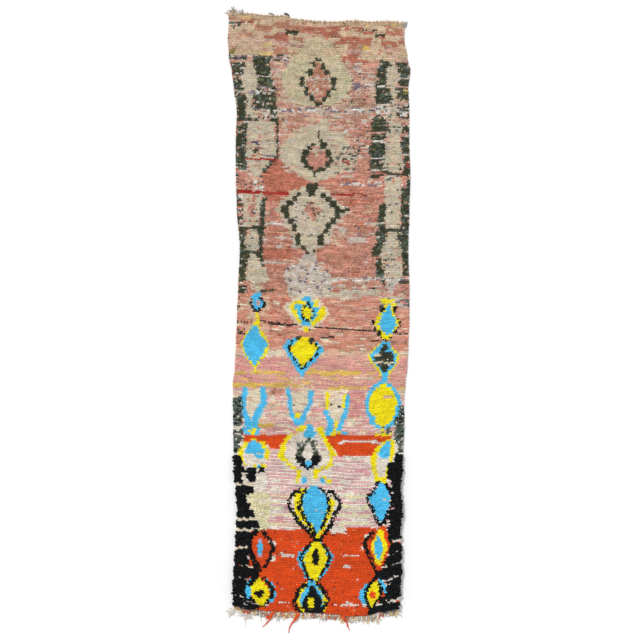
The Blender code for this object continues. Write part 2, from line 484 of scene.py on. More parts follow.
@dataclass(frozen=True)
class Streaks:
    """Short runs of yarn along the rows of a box, over what's tied there. Some rows have more than others."""

    yarns: tuple
    left: float
    right: float
    head: float
    foot: float
    share: float
    run: float = 3.0

    def tie(self, chart: Chart) -> None:
        """Ties the runs."""
        width = int((self.right - self.left) / (0.7 * self.run)) + 3
        run = chart.runs(self.left, self.right, self.run, width)
        thick = chart.draws.uniform(0.3, 1.7, (chart.rows, 1))
        drawn = chart.draws.random((chart.rows, width)) < self.share * thick
        kind = chart.draws.integers(0, len(self.yarns), (chart.rows, width))
        drawn = np.take_along_axis(drawn, run, axis=1)
        kind = np.take_along_axis(kind, run, axis=1)
        inside = (chart.x > self.left) & (chart.x < self.right)
        inside &= (chart.y < self.head) & (chart.y > self.foot)
        for number, yarn in enumerate(self.yarns):
            chart.tie(inside & drawn & (kind == number), yarn)


@dataclass(frozen=True)
class Ripples:
    """Rows of two yarns in turn, as fine stripes across a box."""

    first: Yarn
    second: Yarn
    left: float
    right: float
    head: float
    foot: float

    def tie(self, chart: Chart) -> None:
        """Ties the first yarn on even rows and the second on odd ones."""
        inside = (chart.x > self.left + chart.ragged(0.6)) & (chart.x < self.right + chart.ragged(0.6))
        inside &= (chart.y < self.head) & (chart.y > self.foot)
        even = np.arange(chart.rows)[:, None] % 2 == 0
        chart.tie(inside & even, self.first)
        chart.tie(inside & ~even, self.second)


def patches(yarn: Yarn, *rows: tuple) -> list:
    """Blocks of one yarn: rows of left, right, head, foot and, if it has one, the fall."""
    return [Patch(yarn, *row) for row in rows]


def chain(*points: tuple) -> Stroke:
    """A chain of black beads through a few points."""
    return Stroke(Yarn.BLACK, 2.05, points, 0.10, 1.5)


def ring_set(*rings: tuple) -> tuple:
    """The rings of a lozenge from rows of yarn, half width, up and down, and True where it's dashed."""
    return tuple(Ring(*ring) for ring in rings)


@dataclass(frozen=True)
class Pattern:
    """The rug's pattern, area by area from the head to the foot."""

    left: float = -48.0
    right: float = 47.0

    def motifs(self) -> list:
        """All motifs in the order in which they're tied."""
        areas = (self.fields, self.head_band, self.left_border, self.right_border, self.first_lozenge)
        areas += (self.coral_fields, self.second_lozenge, self.third_lozenge, self.left_ladder)
        areas += (self.right_ladder, self.selvedges, self.bands, self.arm_stripes, self.side_lozenges, self.bloom)
        areas += (self.kite, self.arms, self.orange_band, self.stripe_field, self.foot_ground)
        areas += (self.shag_sides, self.middle_column, self.left_column, self.right_column)
        return [motif for area in areas for motif in area()]

    def fields(self) -> list:
        """The ground colours of the whole length, with the streaks and flecks of its worn part."""
        full = (self.left, self.right)
        pale = (Yarn.SAND, Yarn.PALE_ROSE, Yarn.GREY_IVORY)
        flecks = (Yarn.VIOLET, Yarn.CHARCOAL, Yarn.ROSE_RED, Yarn.WHITE)
        return [
            Field(Yarn.PALE_ROSE, 160.0, 129.5),
            Field(Yarn.DUSTY, 129.5, 97.0),
            Field(Yarn.SALMON, 97.0, 70.0),
            Field(Yarn.CORAL, 70.0, 10.5),
            Field(Yarn.WARM_CORAL, 10.5, -17.0),
            Field(Yarn.PEACH, -17.0, -20.5),
            Field(Yarn.ROSE_PINK, -20.5, -37.0),
            Field(Yarn.STRIPE_PINK, -37.0, -59.8),
            Field(Yarn.PALE_CREAM, -59.8, -106.6),
            Field(Yarn.ORANGE, -106.6, -160.0),
            Streaks((Yarn.ROSE, Yarn.SAND, Yarn.DUSTY, Yarn.STRAW), *full, 147.0, 129.5, 0.35, 5.0),
            Streaks(pale + (Yarn.ROSE, Yarn.SALMON), *full, 129.5, 97.0, 0.42, 3.5),
            Streaks((Yarn.ROSE, Yarn.DUSTY, Yarn.DUSTY, Yarn.GREY_IVORY), *full, 97.0, 70.0, 0.40, 4.0),
            Streaks((Yarn.SALMON, Yarn.SALMON, Yarn.DEEP_CORAL, Yarn.DUSTY), *full, 70.0, 10.5, 0.45, 4.5),
            Streaks((Yarn.GREY_IVORY, Yarn.PALE_ROSE), *full, 70.0, 10.5, 0.10, 2.5),
            Streaks((Yarn.SALMON, Yarn.PEACH), *full, 10.5, -17.0, 0.24, 4.5),
            Streaks((Yarn.CREAM,), *full, -17.0, -20.5, 0.3, 6.0),
            Streaks(flecks, *full, 128.0, 70.0, 0.05, KNOT_RUN),
            Streaks(flecks, *full, 70.0, 11.0, 0.025, KNOT_RUN),
            Streaks((Yarn.WHITE, Yarn.GREY_IVORY, Yarn.VIOLET), -21.0, 28.0, 104.0, 101.6, 0.5, 1.8),
            Streaks((Yarn.WHITE, Yarn.GREY_IVORY, Yarn.VIOLET), 10.0, 28.0, 116.0, 113.0, 0.4, 1.8),
        ]

    def head_band(self) -> list:
        """The straw edge at the head, and the rose, beige and dark dashes under it."""
        return [
            *patches(Yarn.STRAW, (-48.0, 47.0, 156.0, 146.4, 5.0)),
            *patches(Yarn.PALE_ROSE, (-46.0, -28.0, 139.4, 133.4)),
            *patches(Yarn.SAND, (-46.0, -32.0, 144.8, 141.6, 1.0), (-24.0, -16.0, 143.6, 141.6)),
            *patches(Yarn.ROSE, (-46.0, -30.0, 148.9, 147.4, 1.5), (-32.0, -24.0, 145.4, 142.2, 0.6)),
            *patches(Yarn.ROSE, (-24.0, -15.0, 146.9, 143.6, 1.5), (-17.0, 4.0, 145.0, 141.4, 2.0)),
            *patches(Yarn.ROSE_RED, (-9.0, 9.6, 143.8, 140.4, 1.2), (2.8, 21.4, 144.8, 143.0, 0.8)),
            *patches(Yarn.ROSE, (-4.0, 0.4, 139.9, 137.8), (32.5, 42.0, 144.0, 141.6, 2.6)),
            *patches(Yarn.ROSE_RED, (32.5, 41.0, 141.8, 139.8, 2.6), (20.8, 27.2, 142.6, 140.4)),
            *patches(Yarn.SAND, (9.2, 27.4, 141.4, 138.0, 1.6), (32.5, 42.6, 140.2, 137.4, 1.6)),
            *patches(Yarn.SAND, (-16.2, -5.4, 141.4, 138.8)),
            *patches(Yarn.IVORY, (42.0, 46.0, 147.0, 139.5)),
            *patches(Yarn.ROSE, (-40.0, -34.0, 141.7, 139.4), (-15.6, -5.4, 138.8, 136.4, 0.6)),
            *patches(Yarn.ROSE_RED, (-28.0, -21.0, 140.6, 138.6), (-22.6, -16.2, 141.2, 137.4)),
            *patches(Yarn.DUSTY, (-20.0, -9.0, 137.0, 133.6), (3.8, 21.5, 136.2, 130.0), (31.0, 39.5, 134.8, 131.4)),
            *patches(Yarn.ROSE, (-22.6, -11.6, 134.3, 130.2), (6.0, 20.0, 135.0, 133.0)),
            *patches(Yarn.ROSE_RED, (2.4, 26.2, 139.4, 135.6, 1.2), (27.0, 32.0, 139.0, 137.2)),
            *patches(Yarn.ROSE_RED, (30.8, 39.4, 137.3, 134.4, 0.8), (39.0, 42.4, 137.2, 135.6), (-24.0, -20.6, 135.0, 133.3)),
            *patches(Yarn.PALE_ROSE, (33.0, 40.0, 132.2, 127.6), (-19.2, -17.4, 133.2, 131.6), (-14.2, -13.2, 134.0, 130.8)),
            Taper(Yarn.SAND, ((138.6, 26.6, 29.6), (135.0, 25.0, 31.0), (131.6, 21.4, 33.0), (127.8, 19.4, 35.6)), 1.0),
            *patches(Yarn.ROSE_RED, (9.9, 18.8, 130.9, 127.0), (17.8, 24.0, 128.2, 126.0, 1.2)),
            *patches(Yarn.SALMON, (23.0, 30.0, 127.2, 125.4)),
            *patches(Yarn.STRAW, (39.4, 46.0, 135.6, 128.4), (-45.0, -29.0, 133.4, 130.4)),
            *patches(Yarn.STRAW_YELLOW, (-29.0, -24.4, 136.5, 134.7), (-38.5, -34.0, 149.8, 148.4), (22.0, 24.2, 145.8, 143.8)),
            *patches(Yarn.STRAW_YELLOW, (-30.0, -23.0, 132.0, 130.4), (-40.0, -38.6, 141.0, 139.2), (36.0, 40.0, 146.0, 144.4)),
            *patches(Yarn.MUSTARD, (21.6, 25.2, 135.4, 133.2)),
            *patches(Yarn.OLIVE, (-46.0, -42.4, 133.8, 131.0)),
            *patches(Yarn.CHARCOAL, (-16.9, -10.6, 142.5, 140.3, 0.8), (5.5, 9.0, 139.8, 138.0), (27.4, 32.3, 141.1, 139.0)),
            Streaks((Yarn.STRAW, Yarn.SALMON, Yarn.ROSE, Yarn.SAND), -46.0, 43.0, 148.5, 130.5, 0.16, 2.0),
            Streaks((Yarn.CHARCOAL, Yarn.GREY_IVORY), -44.0, -39.6, 147.4, 143.8, 0.4, KNOT_RUN),
            Streaks((Yarn.CHARCOAL_GREY, Yarn.RUST, Yarn.SAND), -45.0, -24.0, 147.4, 146.3, 0.6, 1.2),
            Streaks((Yarn.CHARCOAL, Yarn.SAND), 17.5, 32.5, 143.2, 142.3, 0.6, KNOT_RUN),
            Streaks((Yarn.RUST, Yarn.STRAW), -14.0, 36.0, 147.0, 146.0, 0.3, KNOT_RUN),
            Streaks((Yarn.VIOLET, Yarn.CHARCOAL, Yarn.GREY_IVORY), -45.0, -15.0, 130.4, 127.6, 0.55, 1.3),
        ]

    def left_border(self) -> list:
        """The dark blocks and ivory spindle at the upper left, and the ivory panel under them."""
        pale = (Yarn.WHITE, Yarn.GREY_IVORY, Yarn.CHARCOAL, Yarn.VIOLET)
        return [
            *self.dark_cloth((-46.0, -37.4, 126.9, 119.8), (-42.5, -38.0, 118.6, 112.6), (-42.5, -36.3, 111.2, 101.8)),
            *self.dark_cloth((-42.5, -34.1, 101.4, 97.2), (-39.0, -35.0, 96.2, 94.4), (-42.5, -36.4, 94.6, 73.0)),
            *self.dark_cloth((-33.6, -24.5, 129.8, 120.3), (-31.2, -24.0, 119.2, 115.1), (-33.4, -22.5, 112.0, 103.3)),
            *self.dark_cloth((-24.8, -21.8, 110.0, 96.4), (-33.2, -31.2, 98.9, 97.2)),
            Streaks(pale, -32.2, -22.0, 115.1, 111.0, 0.65, 1.4),
            Streaks(pale, -33.8, -22.0, 103.4, 98.6, 0.75, 1.4),
            Streaks(pale, -45.0, -37.4, 126.0, 112.6, 0.30, 1.2),
            *patches(Yarn.GREY_IVORY, (-31.6, -24.0, 120.4, 119.3), (-42.5, -38.0, 112.4, 111.3)),
            Taper(Yarn.IVORY, ((126.8, -36.3, -34.2), (123.4, -37.3, -32.8), (120.2, -38.9, -31.6),
                               (117.7, -39.2, -31.2), (115.1, -37.9, -31.9), (112.6, -37.3, -32.2),
                               (110.0, -36.7, -33.5), (107.5, -36.0, -34.7), (104.9, -36.3, -34.1),
                               (102.4, -37.3, -33.5), (99.5, -34.7, -31.0)), 1.2),
            Streaks((Yarn.GREY_IVORY, Yarn.VIOLET), -38.0, -32.0, 121.0, 116.0, 0.25, 1.4),
            *patches(Yarn.LILAC, (-35.0, -32.2, 112.9, 111.3)),
            *patches(Yarn.VIOLET, (-34.2, -32.9, 112.5, 111.6)),
            Taper(Yarn.IVORY, ((97.2, -34.7, -22.6), (93.5, -36.3, -22.6), (80.0, -36.5, -22.0), (77.2, -36.6, -23.5),
                               (75.2, -35.7, -25.2), (73.6, -34.7, -27.1), (71.4, -33.8, -28.7),
                               (69.8, -33.1, -29.6)), 1.2),
            Streaks((Yarn.GREY_IVORY, Yarn.SAND, Yarn.DUSTY), -36.3, -22.6, 96.0, 72.0, 0.28, 2.6),
            Streaks((Yarn.NAVY, Yarn.CHARCOAL), -35.5, -30.5, 87.0, 80.8, 0.18, 1.5),
            Streaks((Yarn.NAVY,), -35.0, -30.5, 82.4, 81.2, 0.7, 1.6),
            *self.dark_cloth((-23.3, -21.0, 80.5, 77.6), (-25.2, -22.6, 78.0, 75.2), (-27.1, -24.5, 75.6, 73.4)),
            *self.dark_cloth((-28.8, -26.6, 73.6, 71.4)),
            Stroke(Yarn.CHARCOAL, 1.0, ((-21.3, 98.0), (-21.3, 79.5))),
            Stroke(Yarn.CORAL, 0.9, ((-30.4, 95.5), (-30.4, 73.5)), 0.3),
            Stroke(Yarn.CRIMSON, 0.9, ((-36.7, 78.7), (-22.0, 77.9)), 0.0, 0.4),
            Stroke(Yarn.ROSE_RED, 0.8, ((-33.5, 80.3), (-22.0, 79.9)), 0.25, 0.4),
            Streaks((Yarn.NAVY, Yarn.VIOLET), -29.0, -22.0, 80.6, 79.5, 0.6, 2.0),
            *patches(Yarn.CORAL, (-41.0, -36.7, 72.6, 67.6)),
            Streaks((Yarn.WHITE, Yarn.GREY_IVORY, Yarn.CHARCOAL_GREY), -37.5, -28.0, 71.4, 62.5, 0.5, 1.2),
        ]

    def right_border(self) -> list:
        """The dark blocks down the right side, with the ivory spindles between them."""
        pale = (Yarn.WHITE, Yarn.GREY_IVORY, Yarn.CHARCOAL)
        return [
            *self.dark_cloth((30.2, 35.3, 127.6, 123.6), (29.1, 34.0, 124.0, 117.4), (28.0, 35.0, 117.6, 111.0)),
            *self.dark_cloth((27.8, 36.6, 111.2, 105.9), (38.2, 46.0, 126.6, 121.0), (38.6, 46.0, 118.0, 115.0)),
            *self.dark_cloth((38.0, 46.0, 114.0, 108.2), (38.9, 46.0, 104.4, 98.8), (26.0, 32.4, 99.8, 92.0)),
            *self.dark_cloth((33.3, 36.0, 97.9, 95.4), (31.6, 35.0, 94.8, 92.0), (25.6, 33.0, 91.5, 87.8)),
            *self.dark_cloth((25.0, 32.4, 86.5, 79.3), (24.7, 32.3, 78.2, 72.8), (25.0, 31.4, 72.0, 69.0)),
            *self.dark_cloth((41.0, 46.0, 95.4, 91.6), (40.6, 46.0, 89.5, 80.8), (42.0, 46.0, 80.2, 70.2)),
            *self.dark_cloth((40.6, 46.0, 63.9, 43.8), (43.0, 46.0, 68.0, 63.9), (29.3, 32.8, 56.2, 46.9)),
            *self.dark_cloth((28.4, 32.5, 47.0, 43.7)),
            Streaks(pale, 28.0, 46.0, 106.0, 99.8, 0.6, 2.2),
            Streaks((Yarn.GREY_IVORY, Yarn.CHARCOAL_GREY), 38.8, 46.0, 121.0, 118.0, 0.7, 2.2),
            *patches(Yarn.OLIVE, (41.6, 46.0, 112.9, 110.7)),
            Streaks((Yarn.STRAW_YELLOW, Yarn.MOSS), 41.4, 45.0, 112.9, 110.7, 0.4, 1.1),
            *patches(Yarn.WHITE, (28.0, 35.0, 114.9, 114.2), (26.5, 33.0, 87.5, 86.5), (22.5, 30.5, 79.2, 78.3)),
            *patches(Yarn.GREY_IVORY, (25.5, 32.0, 72.8, 71.9), (28.4, 33.0, 46.6, 45.8), (22.0, 33.0, 46.9, 46.0)),
            Taper(Yarn.IVORY, ((127.6, 35.7, 36.6), (125.4, 35.2, 36.9), (123.4, 33.7, 38.4), (120.2, 33.5, 39.7),
                               (117.0, 34.0, 38.9), (113.9, 34.9, 38.1), (110.7, 35.9, 37.8),
                               (105.0, 36.4, 37.4)), 1.2),
            *patches(Yarn.IVORY, (35.6, 38.0, 104.5, 98.0), (32.0, 36.4, 100.2, 98.2), (34.9, 40.6, 96.4, 91.6)),
            *patches(Yarn.IVORY, (33.0, 40.2, 92.0, 80.0), (32.0, 41.4, 80.4, 71.7), (31.8, 40.6, 70.0, 59.2)),
            *patches(Yarn.IVORY, (32.8, 39.9, 59.4, 43.6)),
            Streaks((Yarn.GREY_IVORY, Yarn.SAND), 33.0, 40.0, 124.0, 44.0, 0.22, 2.2),
            Streaks((Yarn.CHARCOAL_GREY, Yarn.VIOLET), 33.0, 40.0, 119.0, 44.0, 0.04, 1.2),
            Stroke(Yarn.CHARCOAL, 1.7, ((31.4, 71.6), (38.0, 70.8), (45.0, 70.0)), 0.05, 0.4),
            *patches(Yarn.RUST, (43.0, 46.5, 77.6, 74.3)),
            *patches(Yarn.CHARCOAL, (39.9, 40.8, 74.3, 72.4), (33.2, 34.2, 76.2, 75.4), (39.0, 40.0, 76.2, 75.4)),
            *patches(Yarn.DUSTY, (32.8, 40.0, 59.5, 58.8), (34.0, 39.0, 76.0, 75.5)),
            *patches(Yarn.CORAL, (36.2, 37.2, 69.4, 66.4), (41.0, 43.2, 68.4, 64.4)),
        ]

    def first_lozenge(self) -> list:
        """The lozenge nearest the head: ivory, with a dark stepped outline and a rose middle."""
        left = ((-2.4, -0.9, 129.2, 127.0), (-4.0, -2.2, 127.0, 123.8), (-6.4, -3.9, 123.8, 119.8),
                (-9.7, -7.6, 119.8, 114.5), (-7.7, -5.5, 114.5, 110.2), (-5.0, -2.6, 110.0, 107.7))
        right = ((-0.3, 0.8, 129.2, 127.0), (0.4, 2.4, 126.7, 123.2), (2.3, 4.8, 123.2, 120.2),
                 (5.4, 7.8, 119.7, 112.5), (3.3, 5.4, 112.5, 109.6), (1.1, 3.2, 109.6, 107.4))
        return [
            Taper(Yarn.SAGE, ((138.5, -6.0, 3.0), (133.5, -9.5, 7.5), (127.0, -15.0, 12.0), (121.0, -19.0, 14.5),
                              (115.5, -19.0, 16.0), (110.0, -15.0, 12.5), (105.5, -9.5, 6.5))),
            Streaks((Yarn.SAND,), -16.0, 14.0, 138.5, 129.0, 0.6, 5.0),
            Streaks((Yarn.IVORY, Yarn.SAND), -17.0, 14.0, 129.0, 106.0, 0.2, 3.5),
            Taper(Yarn.ROSE, ((126.0, -2.0, 0.4), (123.8, -2.3, 1.0), (120.0, -4.0, 3.0), (118.5, -7.0, 5.4),
                              (113.0, -6.5, 5.4), (110.0, -4.5, 3.4), (107.5, -2.5, 1.5))),
            Streaks((Yarn.DUSTY, Yarn.GREY_IVORY, Yarn.ROSE_RED), -6.5, 5.0, 121.0, 108.0, 0.5, 1.3),
            *patches(Yarn.CHARCOAL, *left, *right, (-2.6, 1.1, 107.3, 105.0)),
            Streaks((Yarn.CHARCOAL_GREY, Yarn.MOSS), -9.7, -2.3, 127.0, 107.7, 0.04, 1.4),
        ]

    def second_lozenge(self) -> list:
        """The second lozenge: broader, with a small dark outline round a coral cross."""
        left = ((-4.3, -1.9, 86.2, 85.0), (-6.4, -4.1, 85.2, 83.0), (-8.6, -5.6, 83.0, 80.2),
                (-9.6, -7.0, 80.2, 77.0), (-8.0, -5.6, 77.0, 74.2), (-5.8, -3.3, 74.4, 72.8))
        right = ((-0.7, 1.2, 88.4, 87.0), (0.1, 3.4, 87.0, 83.6), (2.8, 5.4, 83.6, 79.4),
                 (4.4, 6.4, 79.6, 76.6), (3.0, 5.1, 77.0, 74.2), (-0.3, 3.1, 74.4, 72.6), (-2.0, 0.2, 73.3, 71.8))
        return [
            Taper(Yarn.IVORY, ((98.0, -4.0, 4.0), (94.5, -8.5, 7.7), (91.0, -14.5, 11.8), (85.5, -19.0, 15.0),
                               (80.0, -20.5, 18.5), (76.0, -18.0, 18.5), (72.0, -13.0, 11.8), (69.0, -8.0, 4.5),
                               (67.2, -4.5, -1.0))),
            Streaks((Yarn.GREY_IVORY, Yarn.SAND, Yarn.SAGE, Yarn.DUSTY), -19.0, 17.0, 97.0, 69.0, 0.25, 3.5),
            Streaks((Yarn.SALMON,), -16.0, 14.0, 99.0, 92.0, 0.25, 3.0),
            Taper(Yarn.CORAL, ((85.0, -4.0, 1.0), (82.5, -6.4, 3.0), (78.0, -7.0, 4.4), (75.0, -5.5, 2.8),
                               (72.8, -3.3, -1.0))),
            *patches(Yarn.IVORY, (-6.0, 2.6, 83.4, 82.4), (-2.4, -1.2, 83.0, 79.0), (-4.0, 0.4, 85.4, 84.4)),
            *patches(Yarn.CHARCOAL, *left, *right, (-3.6, -2.2, 72.9, 69.5), (-0.9, -0.2, 93.0, 88.4)),
            Streaks((Yarn.IVORY, Yarn.GREY_IVORY), -9.0, 6.0, 88.0, 84.0, 0.16, 1.0),
            Streaks((Yarn.CHARCOAL_GREY, Yarn.DUSTY), 7.5, 18.0, 84.5, 71.0, 0.3, 1.4),
            Streaks((Yarn.CRIMSON,), 10.5, 15.0, 77.5, 75.0, 0.4, 1.2),
        ]

    def coral_fields(self) -> list:
        """The coral ground beside the upper lozenges, with its white and purple flecks."""
        return [
            Taper(Yarn.DEEP_CORAL, ((78.0, -21.5, -19.5), (74.0, -25.5, -14.0), (70.0, -29.0, -8.0), (66.0, -28.5, -5.5),
                               (62.0, -26.5, -13.0), (58.0, -26.5, -15.0))),
            *patches(Yarn.SALMON, (-19.0, -12.5, 91.5, 84.5)),
            *patches(Yarn.CORAL, (4.0, 25.5, 72.0, 66.0), (-1.0, 32.0, 66.5, 55.5), (18.5, 25.0, 79.0, 71.0)),
            Streaks((Yarn.DEEP_CORAL, Yarn.SALMON), -1.0, 32.0, 72.0, 55.5, 0.3, 4.0),
            Streaks((Yarn.WHITE, Yarn.VIOLET, Yarn.GREY_IVORY), 10.0, 31.0, 67.0, 64.8, 0.5, 1.6),
            Streaks((Yarn.CRIMSON, Yarn.RUST), 0.0, 32.0, 62.0, 60.0, 0.3, 1.8),
            *patches(Yarn.CORAL, (-28.5, -10.0, 47.5, 11.0), (-1.5, 28.0, 44.0, 19.0)),
            Streaks((Yarn.DEEP_CORAL, Yarn.SALMON, Yarn.ROSE), -28.5, -10.0, 47.5, 11.0, 0.35, 4.0),
            Streaks((Yarn.DEEP_CORAL, Yarn.SALMON, Yarn.ROSE), -1.5, 28.0, 44.0, 19.0, 0.35, 4.0),
            Streaks((Yarn.WHITE, Yarn.GREY_IVORY), -28.5, -10.0, 47.0, 45.5, 0.6, 3.0),
            Streaks((Yarn.WHITE, Yarn.GREY_IVORY), -28.5, -10.0, 39.5, 38.0, 0.5, 3.0),
            Streaks((Yarn.GREY_IVORY,), -28.5, -10.0, 35.0, 34.0, 0.5, 3.0),
            Streaks((Yarn.GREY_IVORY, Yarn.PALE_ROSE), -28.5, -10.0, 28.0, 26.0, 0.5, 3.0),
            *patches(Yarn.DEEP_CORAL, (-28.0, -14.0, 33.8, 28.5)),
            Streaks((Yarn.GREY_IVORY, Yarn.PALE_ROSE), -1.5, 28.0, 46.0, 40.0, 0.35, 3.5),
            Streaks((Yarn.VIOLET,), 18.5, 20.5, 45.0, 44.0, 0.8, KNOT_RUN),
            Streaks((Yarn.VIOLET,), 18.5, 20.5, 41.0, 40.0, 0.8, KNOT_RUN),
            *patches(Yarn.GREY_IVORY, (14.5, 23.0, 39.5, 36.5)),
            *patches(Yarn.WHITE, (22.0, 24.0, 27.0, 26.0)),
            Streaks((Yarn.WHITE, Yarn.VIOLET, Yarn.GREY_IVORY), 5.0, 45.5, 19.2, 17.3, 0.5, 1.8),
            Streaks((Yarn.IVORY, Yarn.GREY_IVORY, Yarn.PALE_ROSE), -1.5, 30.5, 13.2, 9.0, 0.55, 4.0),
        ]

    def third_lozenge(self) -> list:
        """The third lozenge with arms to both sides, and the grey hexagon under it."""
        left = ((-11.7, -9.2, 61.6, 59.6), (-14.1, -11.3, 59.9, 57.2), (-16.8, -13.6, 57.6, 55.0),
                (-19.4, -15.8, 55.2, 51.4), (-18.3, -15.2, 51.6, 48.6), (-16.1, -13.3, 48.8, 45.8),
                (-14.1, -11.6, 46.0, 42.0), (-12.1, -9.7, 41.4, 35.4), (-9.4, -7.0, 35.3, 32.9),
                (-7.1, -5.3, 32.9, 30.9))
        right = ((0.4, 3.1, 61.6, 59.2), (2.8, 5.8, 59.4, 56.8), (4.6, 7.9, 57.3, 54.5), (7.1, 9.8, 55.0, 52.0),
                 (9.5, 13.0, 53.4, 51.6), (12.0, 15.0, 53.9, 52.6), (7.4, 10.1, 51.4, 48.6),
                 (5.1, 8.0, 49.2, 46.0), (3.1, 5.8, 46.6, 43.3), (1.4, 3.9, 44.0, 41.0), (-1.2, 2.1, 40.8, 35.5),
                 (-3.3, -1.9, 33.3, 31.8))
        return [
            Taper(Yarn.IVORY, ((64.5, -8.0, 1.0), (62.0, -15.0, 4.4), (55.0, -21.0, 11.8), (53.0, -22.5, 15.8),
                               (50.5, -20.5, 12.0), (44.5, -17.0, 7.0), (40.5, -15.0, 5.5), (36.0, -12.5, 5.0),
                               (34.0, -9.0, -1.0), (31.5, -7.0, -2.5))),
            Taper(Yarn.GREY_IVORY, ((31.2, -8.0, -3.0), (26.5, -10.5, -0.8), (23.0, -15.0, 2.0), (20.5, -18.5, 5.0),
                                    (17.0, -16.5, 6.5), (12.0, -16.0, 4.5), (10.0, -15.5, 4.0))),
            Streaks((Yarn.GREY_IVORY, Yarn.SAND), -20.0, 12.0, 63.0, 34.0, 0.2, 3.0),
            Streaks((Yarn.VIOLET, Yarn.CHARCOAL_GREY), -15.0, 5.0, 58.0, 38.0, 0.07, KNOT_RUN),
            Streaks((Yarn.DUSTY, Yarn.WHITE, Yarn.SAND, Yarn.VIOLET), -17.0, 6.0, 27.0, 10.0, 0.30, 1.4),
            Taper(Yarn.CORAL, ((57.6, -5.0, -4.0), (55.5, -6.0, -1.6), (54.0, -8.4, 1.2), (52.5, -8.0, 0.4),
                               (50.5, -6.0, -1.5), (48.0, -4.4, -2.6)), 1.0),
            Streaks((Yarn.IVORY, Yarn.CHARCOAL_GREY), -7.0, 0.0, 57.0, 48.0, 0.2, 1.0),
            Stroke(Yarn.CHARCOAL, 0.9, ((-3.6, 54.0), (-2.4, 50.0)), 0.1, 0.85),
            *patches(Yarn.CHARCOAL, *left, *right, (-7.1, -1.3, 66.4, 62.1), (-5.4, -2.9, 61.8, 59.8)),
        ]

    def left_ladder(self) -> list:
        """The ivory cells between dark bars down the left side of the worn part's foot."""
        return [
            Streaks((Yarn.CHARCOAL, Yarn.CHARCOAL, Yarn.WHITE), -42.0, -38.4, 60.9, 45.3, 0.85, 1.0),
            Taper(Yarn.IVORY, ((60.9, -38.3, -28.6), (56.1, -38.3, -29.6), (51.3, -38.2, -30.3),
                               (44.6, -38.2, -30.9)), 1.2),
            Stroke(Yarn.CRIMSON, 1.2, ((-41.0, 62.2), (-28.0, 61.6), (-15.5, 61.1)), 0.0, 0.4),
            *self.dark_cloth((-28.7, -26.6, 59.6, 57.2), (-29.8, -26.9, 57.4, 54.0), (-30.2, -27.8, 54.2, 44.4)),
            *patches(Yarn.CHARCOAL, (-34.9, -27.4, 44.7, 43.6), (-40.5, -30.5, 44.8, 43.9)),
            *self.dark_cloth((-41.0, -36.5, 44.6, 40.8), (-31.5, -27.9, 44.2, 40.2), (-30.6, -28.6, 41.0, 29.0)),
            *self.dark_cloth((-41.0, -37.3, 41.0, 32.4), (-38.0, -30.0, 32.6, 29.2), (-41.0, -36.4, 32.4, 24.1)),
            *self.dark_cloth((-40.5, -37.1, 23.7, 17.4), (-41.0, -36.3, 15.6, 11.4), (-29.8, -27.3, 13.6, 11.7)),
            *self.dark_cloth((-25.2, -23.0, 13.5, 11.9)),
            *patches(Yarn.CHARCOAL, (-27.4, -25.2, 12.9, 12.0), (-32.6, -31.2, 13.8, 11.8)),
            *patches(Yarn.IVORY, (-37.2, -30.8, 40.4, 32.8), (-34.8, -31.2, 43.4, 40.4), (-35.6, -32.0, 31.2, 30.4)),
            Taper(Yarn.IVORY, ((29.6, -34.4, -32.0), (27.9, -36.0, -30.0), (24.4, -36.5, -27.5), (21.6, -37.0, -25.9),
                               (19.1, -37.0, -25.2), (17.0, -36.0, -26.0), (15.3, -34.8, -28.4),
                               (12.8, -32.6, -30.4)), 1.2),
            Stroke(Yarn.CHARCOAL, 1.6, ((-29.6, 30.0), (-28.4, 25.0)), 0.0, 1.2),
            *patches(Yarn.VIOLET, (-36.0, -32.6, 39.0, 38.3)),
            *patches(Yarn.CHARCOAL_GREY, (-36.3, -35.0, 35.2, 34.2)),
            Taper(Yarn.CORAL, ((60.9, -34.4, -32.2), (57.0, -34.2, -32.0), (54.8, -36.0, -32.4), (50.0, -35.6, -32.6)),
                  1.2),
            Streaks((Yarn.CORAL, Yarn.CHARCOAL_GREY, Yarn.GREY_IVORY), -37.6, -31.0, 60.5, 45.5, 0.22, 1.1),
            Streaks((Yarn.GREY_IVORY, Yarn.SAND), -37.0, -27.0, 40.0, 15.0, 0.14, 2.0),
            Streaks((Yarn.ROSE, Yarn.WHITE, Yarn.CORAL), -41.0, -25.0, 17.2, 15.4, 0.6, 1.5),
        ]

